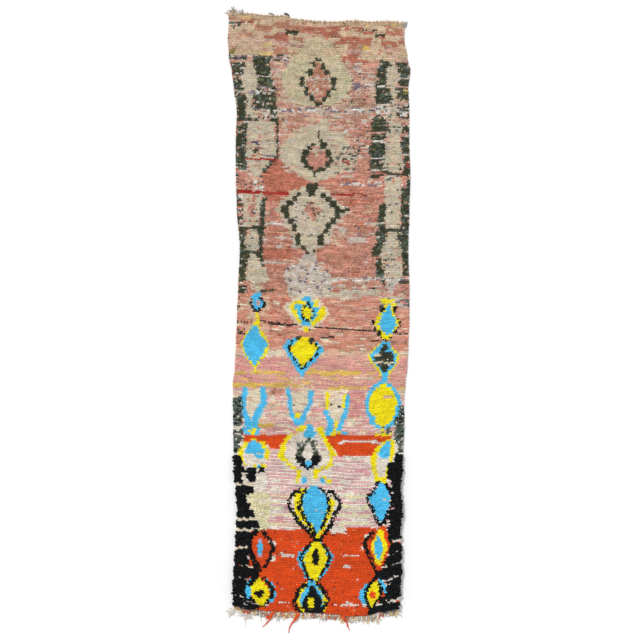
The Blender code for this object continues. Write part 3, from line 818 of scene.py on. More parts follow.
    def right_ladder(self) -> list:
        """The ivory cells between dark bars down the right side of the worn part's foot."""
        return [
            *patches(Yarn.CHARCOAL, (33.0, 39.2, 43.4, 42.0), (28.4, 46.0, 43.6, 42.9)),
            *self.dark_cloth((28.2, 33.6, 42.8, 37.6), (28.2, 32.8, 37.8, 34.2), (26.0, 30.9, 34.4, 29.6)),
            *self.dark_cloth((27.9, 32.2, 28.9, 19.7), (32.0, 35.0, 28.9, 26.4), (35.0, 37.0, 28.6, 27.6)),
            *self.dark_cloth((38.8, 46.0, 43.0, 36.0), (39.4, 46.0, 36.2, 33.4), (40.6, 46.0, 33.5, 28.5)),
            *self.dark_cloth((41.2, 46.0, 28.6, 20.1), (30.2, 32.5, 17.9, 15.9), (39.3, 44.3, 17.9, 16.2)),
            *self.dark_cloth((42.0, 46.0, 8.3, 6.6), (42.2, 46.0, 5.6, 4.2)),
            Taper(Yarn.IVORY, ((42.0, 33.6, 38.6), (35.5, 32.8, 39.3), (33.5, 30.9, 40.9), (29.6, 29.6, 39.9)), 1.2),
            Taper(Yarn.IVORY, ((27.6, 37.2, 40.5), (25.9, 33.6, 40.9), (23.6, 32.4, 41.3), (18.6, 31.5, 41.6)), 1.2),
            Taper(Yarn.GREY_IVORY, ((18.6, 32.6, 39.2), (14.5, 32.8, 38.0), (11.5, 34.6, 36.6))),
            Streaks((Yarn.GREY_IVORY, Yarn.SAND), 31.0, 41.0, 41.0, 13.0, 0.2, 1.8),
            Streaks((Yarn.VIOLET, Yarn.CORAL, Yarn.CHARCOAL_GREY), 31.5, 40.0, 40.0, 13.0, 0.07, 1.2),
            Streaks((Yarn.GREY_IVORY, Yarn.WHITE, Yarn.VIOLET), 5.0, 46.0, 19.2, 17.4, 0.65, 2.0),
            Streaks((Yarn.GREY_IVORY, Yarn.IVORY), 5.0, 31.0, 16.8, 12.6, 0.35, 3.0),
            Streaks((Yarn.IVORY, Yarn.GREY_IVORY, Yarn.IVORY), 2.0, 42.0, 12.6, 9.0, 0.75, 6.0),
            Streaks((Yarn.IVORY, Yarn.GREY_IVORY, Yarn.VIOLET), 30.0, 44.0, 9.0, 4.0, 0.55, 2.0),
            Stroke(Yarn.CORAL, 2.6, ((37.4, 11.6), (40.0, 13.0), (43.6, 14.6))),
        ]

    def bands(self) -> list:
        """The coral, peach, pink and mustard bands of the middle, and the thin black line across them."""
        line = ((-29.8, -2.6), (-24.7, -3.6), (-16.4, -4.3), (-11.3, -4.6), (-6.3, -5.3), (5.0, -6.3), (14.5, -6.8),
                (22.5, -6.9), (31.1, -7.7))
        return [
            Streaks((Yarn.ROSE_PINK, Yarn.PEACH, Yarn.CREAM), -42.5, 44.0, 10.5, -17.0, 0.12, 3.5),
            Streaks((Yarn.DEEP_CORAL, Yarn.SALMON), -28.0, -15.0, 9.0, -12.0, 0.35, 2.5),
            *patches(Yarn.MAGENTA, (-43.0, -36.0, -21.0, -27.0), (-30.5, -19.0, -20.5, -27.0)),
            Streaks((Yarn.MAGENTA, Yarn.PEACH), -43.0, 43.0, -20.5, -34.0, 0.3, 5.0),
            Streaks((Yarn.MUSTARD, Yarn.PEACH), -43.0, 43.0, -26.5, -36.5, 0.22, 5.0),
            *patches(Yarn.MUSTARD, (-42.5, -36.5, -27.6, -29.4), (-35.0, -17.5, -27.6, -28.9), (-7.0, 21.0, -27.4, -29.2)),
            *patches(Yarn.MUSTARD, (-45.0, -5.5, -33.4, -35.6), (4.5, 23.0, -35.2, -38.2)),
            Streaks((Yarn.CREAM, Yarn.PEACH), -15.0, -3.0, -30.5, -38.0, 0.5, 4.0),
            Streaks((Yarn.ROSE_PINK, Yarn.PEACH), -45.0, 23.0, -33.4, -38.2, 0.30, 4.0),
            *patches(Yarn.CREAM, (16.5, 26.5, -30.4, -31.4)),
            Stroke(Yarn.BLACK, 0.9, line, 0.08, 0.3),
            Stroke(Yarn.BLACK, 0.95, ((-41.4, -2.7), (-33.5, -3.0)), 0.15, 0.3),
            Stroke(Yarn.BLACK, 0.9, ((37.0, -8.4), (45.0, -9.4)), 0.25, 0.3),
            *patches(Yarn.BLACK, (-41.5, -37.2, -8.6, -9.4), (0.0, 7.8, -10.2, -11.1), (25.0, 30.5, -12.0, -12.9)),
            *patches(Yarn.BLACK, (-5.5, -4.6, -5.6, -7.0)),
            Streaks((Yarn.ROSE_RED, Yarn.CHARCOAL, Yarn.GREY_IVORY), -43.0, -36.0, -4.5, -8.4, 0.4, 1.6),
        ]

    def side_lozenges(self) -> list:
        """The blue and yellow lozenges down both sides of the middle."""
        star = ((-30.7, -29.6, 9.4, 8.3), (-29.7, -28.4, 8.8, 7.3), (-28.5, -27.0, 7.0, 4.8), (-29.4, -27.8, 5.2, 3.7),
                (-35.2, -34.0, 7.3, 5.8), (-34.5, -33.3, 8.9, 7.7), (-34.3, -32.6, 5.8, 3.6), (-33.2, -31.4, 3.8, 2.0),
                (-31.9, -30.5, 2.5, 1.3), (-30.9, -29.2, 4.4, 2.4))
        drop = ((29.7, 32.4, 4.7, 2.8), (29.9, 31.2, 2.8, 1.6), (36.2, 38.8, 4.7, 3.2), (36.6, 37.8, 3.2, 1.7),
                (26.0, 27.2, -1.6, -4.8), (26.8, 28.2, -5.0, -6.9), (28.9, 30.8, -8.0, -10.6), (31.4, 33.4, -11.7, -12.6),
                (38.6, 39.8, -1.0, -2.2), (39.3, 40.4, -2.6, -4.8), (38.2, 39.4, -5.0, -6.2), (36.9, 38.1, -7.0, -8.2),
                (34.6, 35.8, -10.0, -11.2))
        rungs = ((31.4, 33.6, -14.2, -15.6), (30.4, 34.2, -15.6, -17.2), (28.6, 35.8, -17.6, -19.0),
                 (31.0, 36.6, -19.0, -20.2), (26.9, 37.0, -20.2, -22.8), (28.6, 36.2, -23.6, -24.9),
                 (30.0, 34.4, -24.9, -26.4), (31.2, 33.4, -26.4, -28.2))
        return [
            Streaks((Yarn.PEACH, Yarn.PALE_ROSE), -37.0, -25.0, 12.0, 0.0, 0.30, 2.5),
            *patches(Yarn.SAND, (-36.6, -34.0, 8.0, 4.6), (-27.4, -25.0, 6.8, 4.2), (-36.5, -32.0, 1.2, -1.8)),
            *patches(Yarn.PEACH, (-29.8, -25.6, -4.2, -8.6), (-37.0, -34.0, -4.2, -7.6)),
            Taper(Yarn.BLUE, ((11.4, -33.8, -30.0), (9.3, -34.2, -30.2), (7.5, -34.0, -28.6), (6.5, -34.2, -27.9),
                              (5.0, -33.0, -28.8), (3.6, -32.4, -29.6), (2.4, -31.9, -30.4)), 0.9),
            *patches(Yarn.ROSE_PINK, (-31.5, -30.1, 7.5, 5.5)),
            *patches(Yarn.BLACK, *star),
            Taper(Yarn.YELLOW, ((1.4, -31.8, -30.4), (-1.6, -32.0, -30.2), (-3.0, -33.2, -30.0), (-5.0, -33.4, -30.0),
                                (-6.5, -35.6, -29.3), (-9.5, -37.4, -27.6), (-14.0, -39.8, -24.9),
                                (-18.0, -38.4, -26.2), (-21.0, -36.9, -28.3), (-23.5, -34.8, -30.4),
                                (-26.0, -33.2, -32.2))),
            Taper(Yarn.BLUE, ((-5.4, -33.4, -31.4), (-8.0, -35.8, -30.4), (-11.0, -37.2, -28.4), (-14.2, -38.7, -26.2),
                              (-17.5, -37.6, -27.6), (-20.5, -36.4, -29.2), (-22.5, -34.6, -31.0),
                              (-24.6, -33.4, -32.0))),
            *patches(Yarn.YELLOW, (30.2, 36.3, 8.5, 6.1, 0.6), (35.2, 38.2, 6.6, 4.9, 0.6), (-32.7, -32.0, -26.0, -28.0)),
            Taper(Yarn.YELLOW, ((5.0, 32.6, 35.8), (1.4, 30.4, 37.4), (-2.3, 27.1, 39.2), (-5.4, 28.0, 38.7),
                                (-8.3, 29.9, 36.2), (-11.6, 31.0, 34.4))),
            Taper(Yarn.BLUE, ((5.8, 34.0, 35.2), (3.4, 33.2, 35.4), (0.3, 31.2, 36.8), (-2.9, 28.9, 38.4),
                              (-5.2, 29.6, 38.0), (-8.0, 31.2, 36.0), (-9.6, 32.8, 34.4))),
            *patches(Yarn.BLACK, *drop),
            Taper(Yarn.YELLOW, ((-14.2, 29.0, 35.2), (-16.9, 26.0, 37.4), (-19.8, 24.2, 39.8), (-22.6, 24.8, 39.2),
                                (-25.4, 27.2, 37.6), (-28.7, 29.6, 35.6), (-30.0, 30.6, 34.6))),
            Taper(Yarn.BLUE, ((-13.0, 31.0, 35.0), (-14.8, 29.4, 35.4), (-16.9, 27.2, 36.2), (-19.8, 25.2, 38.8),
                              (-22.2, 25.9, 38.2), (-25.2, 28.4, 36.4), (-28.6, 30.9, 34.2), (-32.8, 31.0, 33.4))),
            *patches(Yarn.CREAM, (27.4, 36.2, -18.8, -20.4), (28.0, 36.0, -22.8, -23.7)),
            *patches(Yarn.CHARCOAL, *rungs),
            Streaks((Yarn.CREAM, Yarn.CHARCOAL_GREY), 28.0, 36.4, -16.8, -25.0, 0.22, 1.4),
            Lozenge(31.5, -44.5, 1.75, ring_set((Yarn.BLUE, 9.2, 12.0, 12.6), (Yarn.YELLOW, 7.2, 10.2, 11.0))),
            *patches(Yarn.BLUE, (37.6, 41.4, -45.0, -49.6), (36.4, 39.6, -49.6, -53.0), (24.6, 27.4, -50.0, -53.6)),
            *patches(Yarn.PEACH, (31.5, 36.0, -39.6, -41.2)),
            *patches(Yarn.YELLOW, (30.6, 31.9, -54.0, -58.6)),
        ]

    def arms(self) -> list:
        """The blue arms raised from the orange band, and the dark edges beside them."""
        return [
            *patches(Yarn.SALMON, (-24.5, -17.7, -36.2, -39.3)),
            *patches(Yarn.MAGENTA, (14.5, 22.5, -38.0, -46.5), (14.5, 20.0, -46.5, -51.0)),
            Streaks((Yarn.WARM_CORAL, Yarn.PEACH), 14.5, 22.5, -38.0, -51.0, 0.35, 2.5),
            *patches(Yarn.MUSTARD, (-32.5, -23.0, -53.9, -55.4)),
            Streaks((Yarn.BLACK, Yarn.CREAM), -33.0, 14.0, -44.0, -45.4, 0.16, 1.2),
            Stroke(Yarn.BLUE, 2.8, ((-37.2, -37.4), (-38.4, -42.0), (-38.2, -46.0), (-36.8, -50.0), (-35.6, -54.0))),
            Stroke(Yarn.BLUE, 3.1, ((-28.4, -37.4), (-27.9, -43.0), (-29.7, -46.0), (-31.6, -50.0), (-33.0, -54.0))),
            *patches(Yarn.BLUE, (-37.4, -31.0, -52.4, -59.4), (-38.0, -30.2, -56.0, -58.6)),
            *patches(Yarn.YELLOW, (-35.8, -34.4, -56.5, -58.0), (-34.6, -32.4, -58.0, -59.6), (-33.6, -32.0, -56.4, -57.6)),
            Stroke(Yarn.BLUE, 2.2, ((-16.2, -37.4), (-14.8, -41.5), (-15.2, -45.5), (-13.8, -49.7), (-11.8, -53.0))),
            Stroke(Yarn.BLUE, 2.5, ((-4.4, -38.0), (-5.0, -43.7), (-7.2, -48.0), (-9.2, -52.5))),
            *patches(Yarn.BLUE, (-12.8, -8.4, -51.8, -54.8)),
            *patches(Yarn.YELLOW, (-12.4, -9.8, -48.5, -50.9)),
            Stroke(Yarn.YELLOW, 1.8, ((3.7, -39.0), (3.4, -47.0))),
            *patches(Yarn.BLUE, (1.4, 4.2, -46.7, -49.4), (2.8, 5.4, -49.4, -52.0), (3.7, 6.6, -51.5, -58.8)),
            *patches(Yarn.BLUE, (2.6, 5.6, -56.6, -60.0), (10.6, 14.0, -57.6, -60.2)),
            Stroke(Yarn.BLUE, 2.2, ((13.7, -40.4), (13.6, -45.0), (12.6, -49.0), (10.5, -54.0), (9.4, -57.5))),
            Stroke(Yarn.YELLOW, 1.5, ((12.4, -39.0), (11.8, -45.5))),
            *patches(Yarn.YELLOW, (7.4, 8.8, -52.0, -56.0), (6.6, 8.0, -56.4, -60.0), (8.8, 10.4, -57.4, -60.2)),
            *patches(Yarn.YELLOW, (5.2, 6.4, -58.4, -60.0)),
            *self.grey_cloth((-48.0, -38.6, -40.5, -54.9), (-48.0, -38.6, -56.6, -62.6), (-48.0, -40.0, -62.6, -68.2)),
            *self.grey_cloth((39.4, 46.0, -44.5, -50.7), (37.2, 46.0, -50.7, -63.4), (38.8, 46.0, -63.4, -68.4)),
            *patches(Yarn.PALE_CREAM, (-48.0, -38.6, -55.0, -56.5)),
            Streaks((Yarn.CHARCOAL_GREY,), 27.8, 36.5, -55.5, -59.0, 0.45, 1.6),
        ]

    def orange_band(self) -> list:
        """The orange band, the round bloom over it and the small rings at both its ends."""
        return [
            *patches(Yarn.STRIPE_PINK, (-38.0, -27.0, -62.5, -75.0)),
            Taper(Yarn.ORANGE, ((-59.8, -38.0, -16.0), (-62.5, -38.0, -17.0), (-64.5, -26.5, -18.5),
                                (-67.0, -23.5, -22.0))),
            Taper(Yarn.ORANGE, ((-59.8, 2.7, 36.0), (-64.0, 5.0, 33.0), (-67.0, 8.0, 28.0), (-70.0, 9.5, 25.0))),
            Stroke(Yarn.WHITE, 1.2, ((9.7, -64.2), (12.4, -62.8), (19.7, -62.2), (28.0, -63.0), (30.5, -64.0)), 0.0, 0.85),
            Streaks((Yarn.YELLOW,), 25.5, 36.0, -58.5, -59.8, 0.6, KNOT_RUN),
            Ripples(Yarn.STRIPE_PINK, Yarn.PALE_CREAM, -28.0, -19.0, -66.0, -76.0),
            Lozenge(-32.9, -68.8, 2.0, ring_set((Yarn.YELLOW, 7.7, 6.9, 6.9), (Yarn.PALE_CREAM, 5.4, 4.6, 6.9))),
            Taper(Yarn.BLUE, ((-62.2, -34.4, -31.6), (-64.5, -36.6, -29.4), (-67.0, -37.4, -27.8), (-68.4, -37.0, -28.0))),
            Taper(Yarn.BLUE, ((-69.4, -33.0, -28.4), (-71.2, -31.4, -28.8))),
            *patches(Yarn.PALE_CREAM, (-38.0, -30.5, -71.2, -73.8), (-33.0, -26.0, -71.6, -73.6)),
            *patches(Yarn.YELLOW, (-33.4, -31.8, -74.2, -76.0), (-29.6, -26.6, -73.8, -75.6)),
            *patches(Yarn.BLUE, (-31.4, -29.8, -74.2, -76.0)),
            Taper(Yarn.YELLOW, ((-55.0, -9.6, -5.8), (-56.5, -11.5, 1.2), (-59.5, -16.0, 2.6), (-64.5, -19.6, 5.6),
                                (-69.5, -21.2, 8.6), (-72.5, -19.5, 8.2), (-75.5, -14.6, 5.2), (-77.4, -12.5, 0.6))),
            *patches(Yarn.YELLOW, (-0.6, 1.8, -55.0, -58.0), (-12.4, -9.2, -77.0, -81.2), (-3.6, -1.0, -77.4, -81.2)),
            *patches(Yarn.YELLOW, (-12.8, -10.6, -81.2, -83.6), (0.8, 3.2, -79.8, -81.4), (3.0, 5.8, -81.4, -83.8)),
            Taper(Yarn.PALE_CREAM, ((-54.6, -5.6, -3.8), (-57.5, -9.0, -1.0), (-60.0, -13.5, 0.4),
                                    (-65.0, -17.0, 3.2), (-69.5, -18.2, 5.2), (-72.5, -16.0, 4.6),
                                    (-75.5, -11.5, 1.0), (-77.5, -9.4, -3.6), (-83.8, -9.4, -3.4))),
            Streaks((Yarn.CREAM, Yarn.STRIPE_PINK), -16.0, 3.0, -58.0, -77.0, 0.2, 2.5),
            Taper(Yarn.BLUE, ((-54.6, -6.4, -3.4), (-57.5, -7.4, -2.6), (-59.0, -8.6, -1.4), (-60.8, -7.6, -3.2))),
            Taper(Yarn.CHARCOAL, ((-61.6, -6.6, -5.0), (-64.0, -9.0, -2.8), (-66.6, -11.6, -1.6), (-70.0, -12.4, -0.6),
                                  (-71.0, -12.0, -0.8))),
            Streaks((Yarn.CHARCOAL_GREY, Yarn.GREY), -12.0, -1.0, -62.0, -70.5, 0.4, 1.2),
            Taper(Yarn.BLACK, ((-70.0, -12.2, 0.8), (-72.4, -11.6, 0.4), (-74.6, -9.4, -1.8), (-76.8, -6.6, -5.0))),
            Taper(Yarn.PALE_CREAM, ((-63.4, -6.4, -5.4), (-66.0, -7.8, -4.0), (-68.5, -8.4, -3.6), (-71.4, -8.0, -4.0),
                                    (-72.8, -6.8, -5.2))),
            Taper(Yarn.BLUE, ((-72.6, -6.4, -5.4), (-74.0, -7.6, -4.2), (-75.4, -6.6, -5.0))),
            *patches(Yarn.BLUE, (-9.0, -6.8, -80.6, -83.4), (0.2, 2.2, -81.0, -83.6)),
            Taper(Yarn.YELLOW, ((-62.2, 32.6, 36.6), (-66.0, 27.6, 37.2), (-71.0, 25.0, 36.6), (-76.0, 25.6, 34.6),
                                (-80.0, 27.0, 34.0), (-83.0, 27.4, 33.4))),
            Taper(Yarn.PALE_CREAM, ((-69.0, 28.0, 35.0), (-72.0, 28.6, 34.6), (-76.0, 28.4, 33.0), (-80.0, 29.0, 32.8))),
            Taper(Yarn.BLUE, ((-62.6, 33.6, 35.4), (-66.0, 30.6, 35.6), (-69.4, 28.4, 34.8), (-70.4, 29.6, 33.6))),
        ]

    def stripe_field(self) -> list:
        """The pink and cream stripes, and the lemon edge beside them."""
        return [
            Ripples(Yarn.STRIPE_PINK, Yarn.PALE_CREAM, -29.0, -12.0, -76.5, -106.6),
            Ripples(Yarn.STRIPE_PINK, Yarn.PALE_CREAM, -14.0, 8.0, -84.4, -106.6),
            Ripples(Yarn.STRIPE_PINK, Yarn.PALE_CREAM, 6.4, 25.0, -70.0, -106.6),
            Ripples(Yarn.STRIPE_PINK, Yarn.PALE_CREAM, 34.5, 38.0, -76.0, -83.0),
            Ripples(Yarn.STRIPE_PINK, Yarn.PALE_CREAM, 24.0, 38.0, -83.5, -106.6),
            Streaks((Yarn.PALE_CREAM, Yarn.PALE_CREAM, Yarn.STRIPE_PINK), -29.0, -12.0, -77.0, -106.6, 0.35, 5.0),
            Streaks((Yarn.PALE_CREAM, Yarn.PALE_CREAM, Yarn.STRIPE_PINK), 7.0, 25.0, -70.0, -106.6, 0.3, 5.0),
            Streaks((Yarn.MAGENTA, Yarn.PALE_CREAM), -22.0, 20.0, -96.0, -106.6, 0.16, 4.0),
            Streaks((Yarn.LEMON_CREAM,), -29.0, 25.0, -89.5, -91.5, 0.8, 9.0),
            Streaks((Yarn.LEMON_CREAM, Yarn.PALE_CREAM), -29.0, 25.0, -92.5, -96.5, 0.35, 9.0),
            Streaks((Yarn.LEMON_CREAM,), -29.0, 25.0, -98.5, -100.5, 0.65, 9.0),
            Streaks((Yarn.LEMON_CREAM,), -29.0, 25.0, -103.0, -105.0, 0.6, 9.0),
            Taper(Yarn.PALE_CREAM, ((-77.0, -35.0, -27.0), (-83.0, -33.0, -26.0), (-88.0, -34.0, -27.0))),
            Taper(Yarn.LEMON_CREAM, ((-88.5, -37.0, -26.0), (-93.0, -37.0, -25.0), (-98.0, -34.5, -25.0),
                                     (-106.6, -31.5, -27.0))),
            Streaks((Yarn.CREAM, Yarn.PALE_CREAM), -36.5, -24.0, -86.0, -106.6, 0.3, 3.0),
        ]

    def shag_sides(self) -> list:
        """The black shag down both sides of the foot, with the cream lines through it."""
        left = ((-39.2, -69.5, -74.8), (-37.7, -75.0, -82.9), (-33.0, -84.4, -88.7), (-36.7, -89.0, -94.5),
                (-35.0, -93.7, -97.5), (-33.0, -97.0, -100.5), (-30.7, -102.2, -105.8), (-34.7, -107.4, -114.6),
                (-35.6, -116.4, -124.0), (-30.8, -124.6, -130.4), (-36.5, -129.0, -143.8), (-35.0, -142.0, -150.0))
        right = ((37.2, -68.8, -73.5), (33.8, -73.5, -82.0), (35.8, -82.0, -87.0), (36.6, -87.0, -97.0),
                 (34.6, -97.0, -105.0), (33.4, -105.0, -111.0), (34.8, -113.0, -118.0), (32.4, -118.0, -124.5),
                 (31.0, -124.5, -127.0), (27.2, -127.0, -131.8), (32.6, -131.8, -142.0), (24.0, -144.6, -150.0), (29.0, -142.4, -145.0))
        slants = (((-36.0, -120.6), (-32.0, -122.0), (-28.6, -123.0)), ((-38.5, -124.4), (-33.0, -125.6), (-30.4, -127.0)),
                  ((-40.0, -130.4), (-36.0, -132.0), (-34.0, -133.4)), ((-42.0, -138.6), (-37.0, -140.6)))
        lines = (((33.0, -119.4), (37.6, -118.0), (42.0, -117.0)), ((31.0, -125.6), (36.0, -124.2), (41.0, -122.0)))
        return [
            *patches(Yarn.BLACK, *[(-48.0, *row) for row in left], *[(row[0], 46.0, *row[1:]) for row in right]),
            *patches(Yarn.BLACK, (-37.0, -31.7, -76.0, -78.2), (-30.5, -27.5, -75.5, -78.2), (-35.7, -32.0, -78.2, -82.5)),
            *patches(Yarn.PALE_CREAM, (-39.2, -36.6, -77.8, -82.0)),
            *patches(Yarn.CREAM, (-48.0, -33.0, -82.9, -84.6), (-48.0, -31.5, -100.5, -102.2)),
            *patches(Yarn.CREAM, (-48.0, -34.0, -105.9, -107.5), (-48.0, -35.0, -114.7, -116.4)),
            *patches(Yarn.PALE_CREAM, (35.5, 46.0, -111.0, -112.8)),
            *[Stroke(Yarn.PALE_CREAM, 1.1, points, 0.05, 0.85) for points in slants],
            *[Stroke(Yarn.PALE_CREAM, 1.1, points, 0.05, 0.85) for points in lines],
            Stroke(Yarn.PALE_CREAM, 1.3, ((30.4, -132.8), (34.0, -131.6), (38.4, -129.4)), 0.0, 0.85),
            Stroke(Yarn.PALE_CREAM, 1.1, ((32.0, -134.8), (35.0, -133.6)), 0.0, 0.85),
            Stroke(Yarn.PALE_CREAM, 1.5, ((22.0, -144.7), (31.0, -143.4), (42.0, -140.4)), 0.0, 0.85),
        ]

    def dark_cloth(self, *rows: tuple) -> list:
        """Dark green blocks, mottled with grey, moss and pale knots: rows of left, right, head and foot."""
        made = patches(Yarn.CHARCOAL, *rows)
        for left, right, top, foot, *_ in rows:
            box = (left - 0.3, right + 0.3, top, foot)
            made.append(Streaks((Yarn.CHARCOAL_GREY, Yarn.MOSS, Yarn.CHARCOAL_GREY), *box, 0.28, 1.5))
            made.append(Streaks((Yarn.GREY_IVORY, Yarn.DUSTY), *box, 0.05, 1.1))
        return made

    def selvedges(self) -> list:
        """The overcast edges of the worn part: dark and pale stitches in turn."""
        stitches = (Yarn.CHARCOAL, Yarn.IVORY, Yarn.CHARCOAL_GREY, Yarn.ROSE_RED)
        return [
            Streaks(stitches, -48.0, -43.4, 131.0, 119.0, 0.55, 0.9),
            Streaks(stitches, -48.0, -40.9, 119.0, 96.0, 0.65, 0.9),
            Streaks(stitches, -48.0, -40.6, 96.0, 10.0, 0.55, 0.9),
            Streaks(stitches, -48.0, -40.2, 10.0, -10.0, 0.35, 1.2),
            Streaks((Yarn.IVORY, Yarn.DUSTY, Yarn.CHARCOAL_GREY), 44.0, 48.0, 128.0, 20.0, 0.3, 0.9),
        ]

    def arm_stripes(self) -> list:
        """The fine pink and cream stripes behind the arms."""
        return [
            Ripples(Yarn.STRIPE_PINK, Yarn.CREAM, -44.0, 42.5, -37.0, -59.8),
            Streaks((Yarn.PEACH, Yarn.ROSE_PINK, Yarn.CREAM), -43.5, 42.0, -37.0, -59.8, 0.35, 4.0),
            *patches(Yarn.CREAM, (-37.0, -28.0, -36.4, -52.0), (-15.0, -5.0, -38.0, -50.0), (4.0, 13.5, -39.0, -52.0)),
            Streaks((Yarn.PALE_CREAM, Yarn.PEACH), -37.0, 13.5, -38.0, -54.0, 0.16, 2.5),
        ]

    def bloom(self) -> list:
        """The yellow and blue bloom in the middle of the rug."""
        dots = ((-7.7, 4.6), (-5.8, 6.2), (-4.9, 4.6), (-9.2, 2.9), (-3.3, 2.6), (-8.8, 0.4), (-3.1, 0.7),
                (-8.2, -1.2), (-4.4, -1.2), (-6.8, -2.2), (-5.9, -2.2))
        return [
            Taper(Yarn.CREAM, ((11.0, -12.0, -2.0), (8.4, -13.0, 0.4), (5.6, -17.6, 1.6), (3.8, -19.0, 3.8), (1.0, -15.4, 4.6),
                               (-2.0, -13.0, 2.6), (-6.0, -9.0, -3.0))),
            Taper(Yarn.YELLOW, ((7.2, -12.4, -7.6), (5.2, -15.9, -7.0), (4.0, -15.3, -7.0), (2.0, -13.8, -6.0),
                                (0.0, -12.5, -6.0), (-2.0, -11.2, -6.0), (-4.2, -9.6, -7.0)), 0.9),
            Taper(Yarn.YELLOW, ((7.6, -3.0, -1.2), (4.8, -3.6, -0.8), (3.8, -3.0, 2.8), (1.6, -4.0, 3.2),
                                (-1.0, -4.6, 1.8), (-2.6, -5.4, 0.0), (-4.4, -6.0, -2.2)), 0.9),
            *patches(Yarn.CREAM, (-1.0, 1.0, 6.6, 4.2)),
            *patches(Yarn.BLUE, (-8.3, -4.4, 9.9, 7.1), (-7.4, -3.0, 7.2, 4.2), (-12.3, -8.8, 5.9, 3.4)),
            *patches(Yarn.BLUE, (-11.1, -8.6, 3.5, 0.4), (-10.4, -8.2, 0.5, -1.9), (-9.2, -4.4, -1.5, -4.6)),
            *patches(Yarn.BLUE, (-4.0, -0.3, 4.2, 2.0), (-3.8, -1.4, 2.2, -0.2), (-4.6, -2.2, 0.2, -2.0)),
            Taper(Yarn.YELLOW, ((4.6, -8.4, -4.6), (2.0, -8.8, -3.8), (0.0, -8.4, -3.8), (-1.7, -7.6, -4.6)), 1.2),
            *[Patch(Yarn.BLACK, x - 0.6, x + 0.6, y + 0.6, y - 0.6) for x, y in dots],
            *patches(Yarn.YELLOW, (-8.2, -5.7, -5.6, -7.9)),
        ]

    def kite(self) -> list:
        """The blue and yellow kite under the bloom."""
        return [
            Taper(Yarn.BLUE, ((-11.3, -14.6, -11.6), (-13.0, -17.6, -2.0), (-14.4, -18.8, 0.2), (-16.0, -18.0, 2.0),
                              (-17.8, -17.4, 1.4), (-20.0, -15.9, 0.0), (-22.4, -14.6, -2.0), (-25.0, -13.0, -4.8),
                              (-27.6, -11.4, -7.2), (-30.4, -9.6, -8.4)), 1.2),
            Taper(Yarn.YELLOW, ((-10.6, -9.0, -6.0), (-12.0, -10.2, -5.0), (-13.4, -12.8, -2.4), (-15.6, -15.4, -0.7),
                                (-17.6, -14.4, -1.7), (-21.0, -12.0, -4.0), (-24.0, -10.2, -7.6), (-25.4, -9.4, -8.4)), 1.2),
            Stroke(Yarn.BLACK, 1.2, ((-13.7, -13.0), (-15.7, -15.2), (-15.0, -17.4), (-13.0, -21.0), (-9.3, -26.0),
                                     (-9.0, -28.2)), 0.3, 1.5),
            Stroke(Yarn.BLACK, 1.2, ((-3.2, -13.0), (-0.6, -15.4), (-0.9, -17.7), (-3.3, -20.6), (-5.8, -22.9),
                                     (-8.6, -26.6)), 0.35, 1.5),
            *patches(Yarn.CHARCOAL, (-6.0, -3.0, -11.0, -12.8), (-5.4, -3.6, -12.8, -14.0), (-11.8, -9.2, -9.9, -11.6)),
        ]

    def grey_cloth(self, *rows: tuple) -> list:
        """Grey green blocks, mottled with darker and paler knots: rows of left, right, head and foot."""
        made = patches(Yarn.CHARCOAL_GREY, *rows)
        for left, right, top, foot in rows:
            made.append(Streaks((Yarn.CHARCOAL, Yarn.BLACK), left, right, top, foot, 0.35, 1.2))
            made.append(Streaks((Yarn.GREY, Yarn.PALE_CREAM), left, right, top, foot, 0.13, 1.0))
        return made

    def foot_ground(self) -> list:
        """The edge of the orange ground and the white flecks in it."""
        return [
            *patches(Yarn.ORANGE, (13.0, 28.0, -105.8, -107.0)),
            *patches(Yarn.PALE_CREAM, (5.0, 13.0, -106.0, -108.6)),
            *patches(Yarn.WHITE, (-19.7, -18.0, -117.8, -120.0), (-18.4, -12.3, -119.2, -120.3)),
            *patches(Yarn.WHITE, (11.8, 19.0, -119.3, -120.3), (11.8, 15.2, -124.2, -125.8)),
            *patches(Yarn.WHITE, (18.8, 23.0, -131.6, -132.3), (-20.5, -15.0, -142.9, -143.7)),
            Stroke(Yarn.WHITE, 1.0, ((6.5, -144.0), (11.0, -144.6), (14.0, -143.4), (20.0, -144.4)), 0.25, 0.85),
            Streaks((Yarn.WHITE, Yarn.WARM_CORAL), -30.0, 24.0, -141.5, -144.5, 0.03, 1.0),
            Streaks((Yarn.WARM_CORAL, Yarn.CRIMSON), -30.0, 24.0, -107.0, -150.0, 0.02, 0.9),
        ]

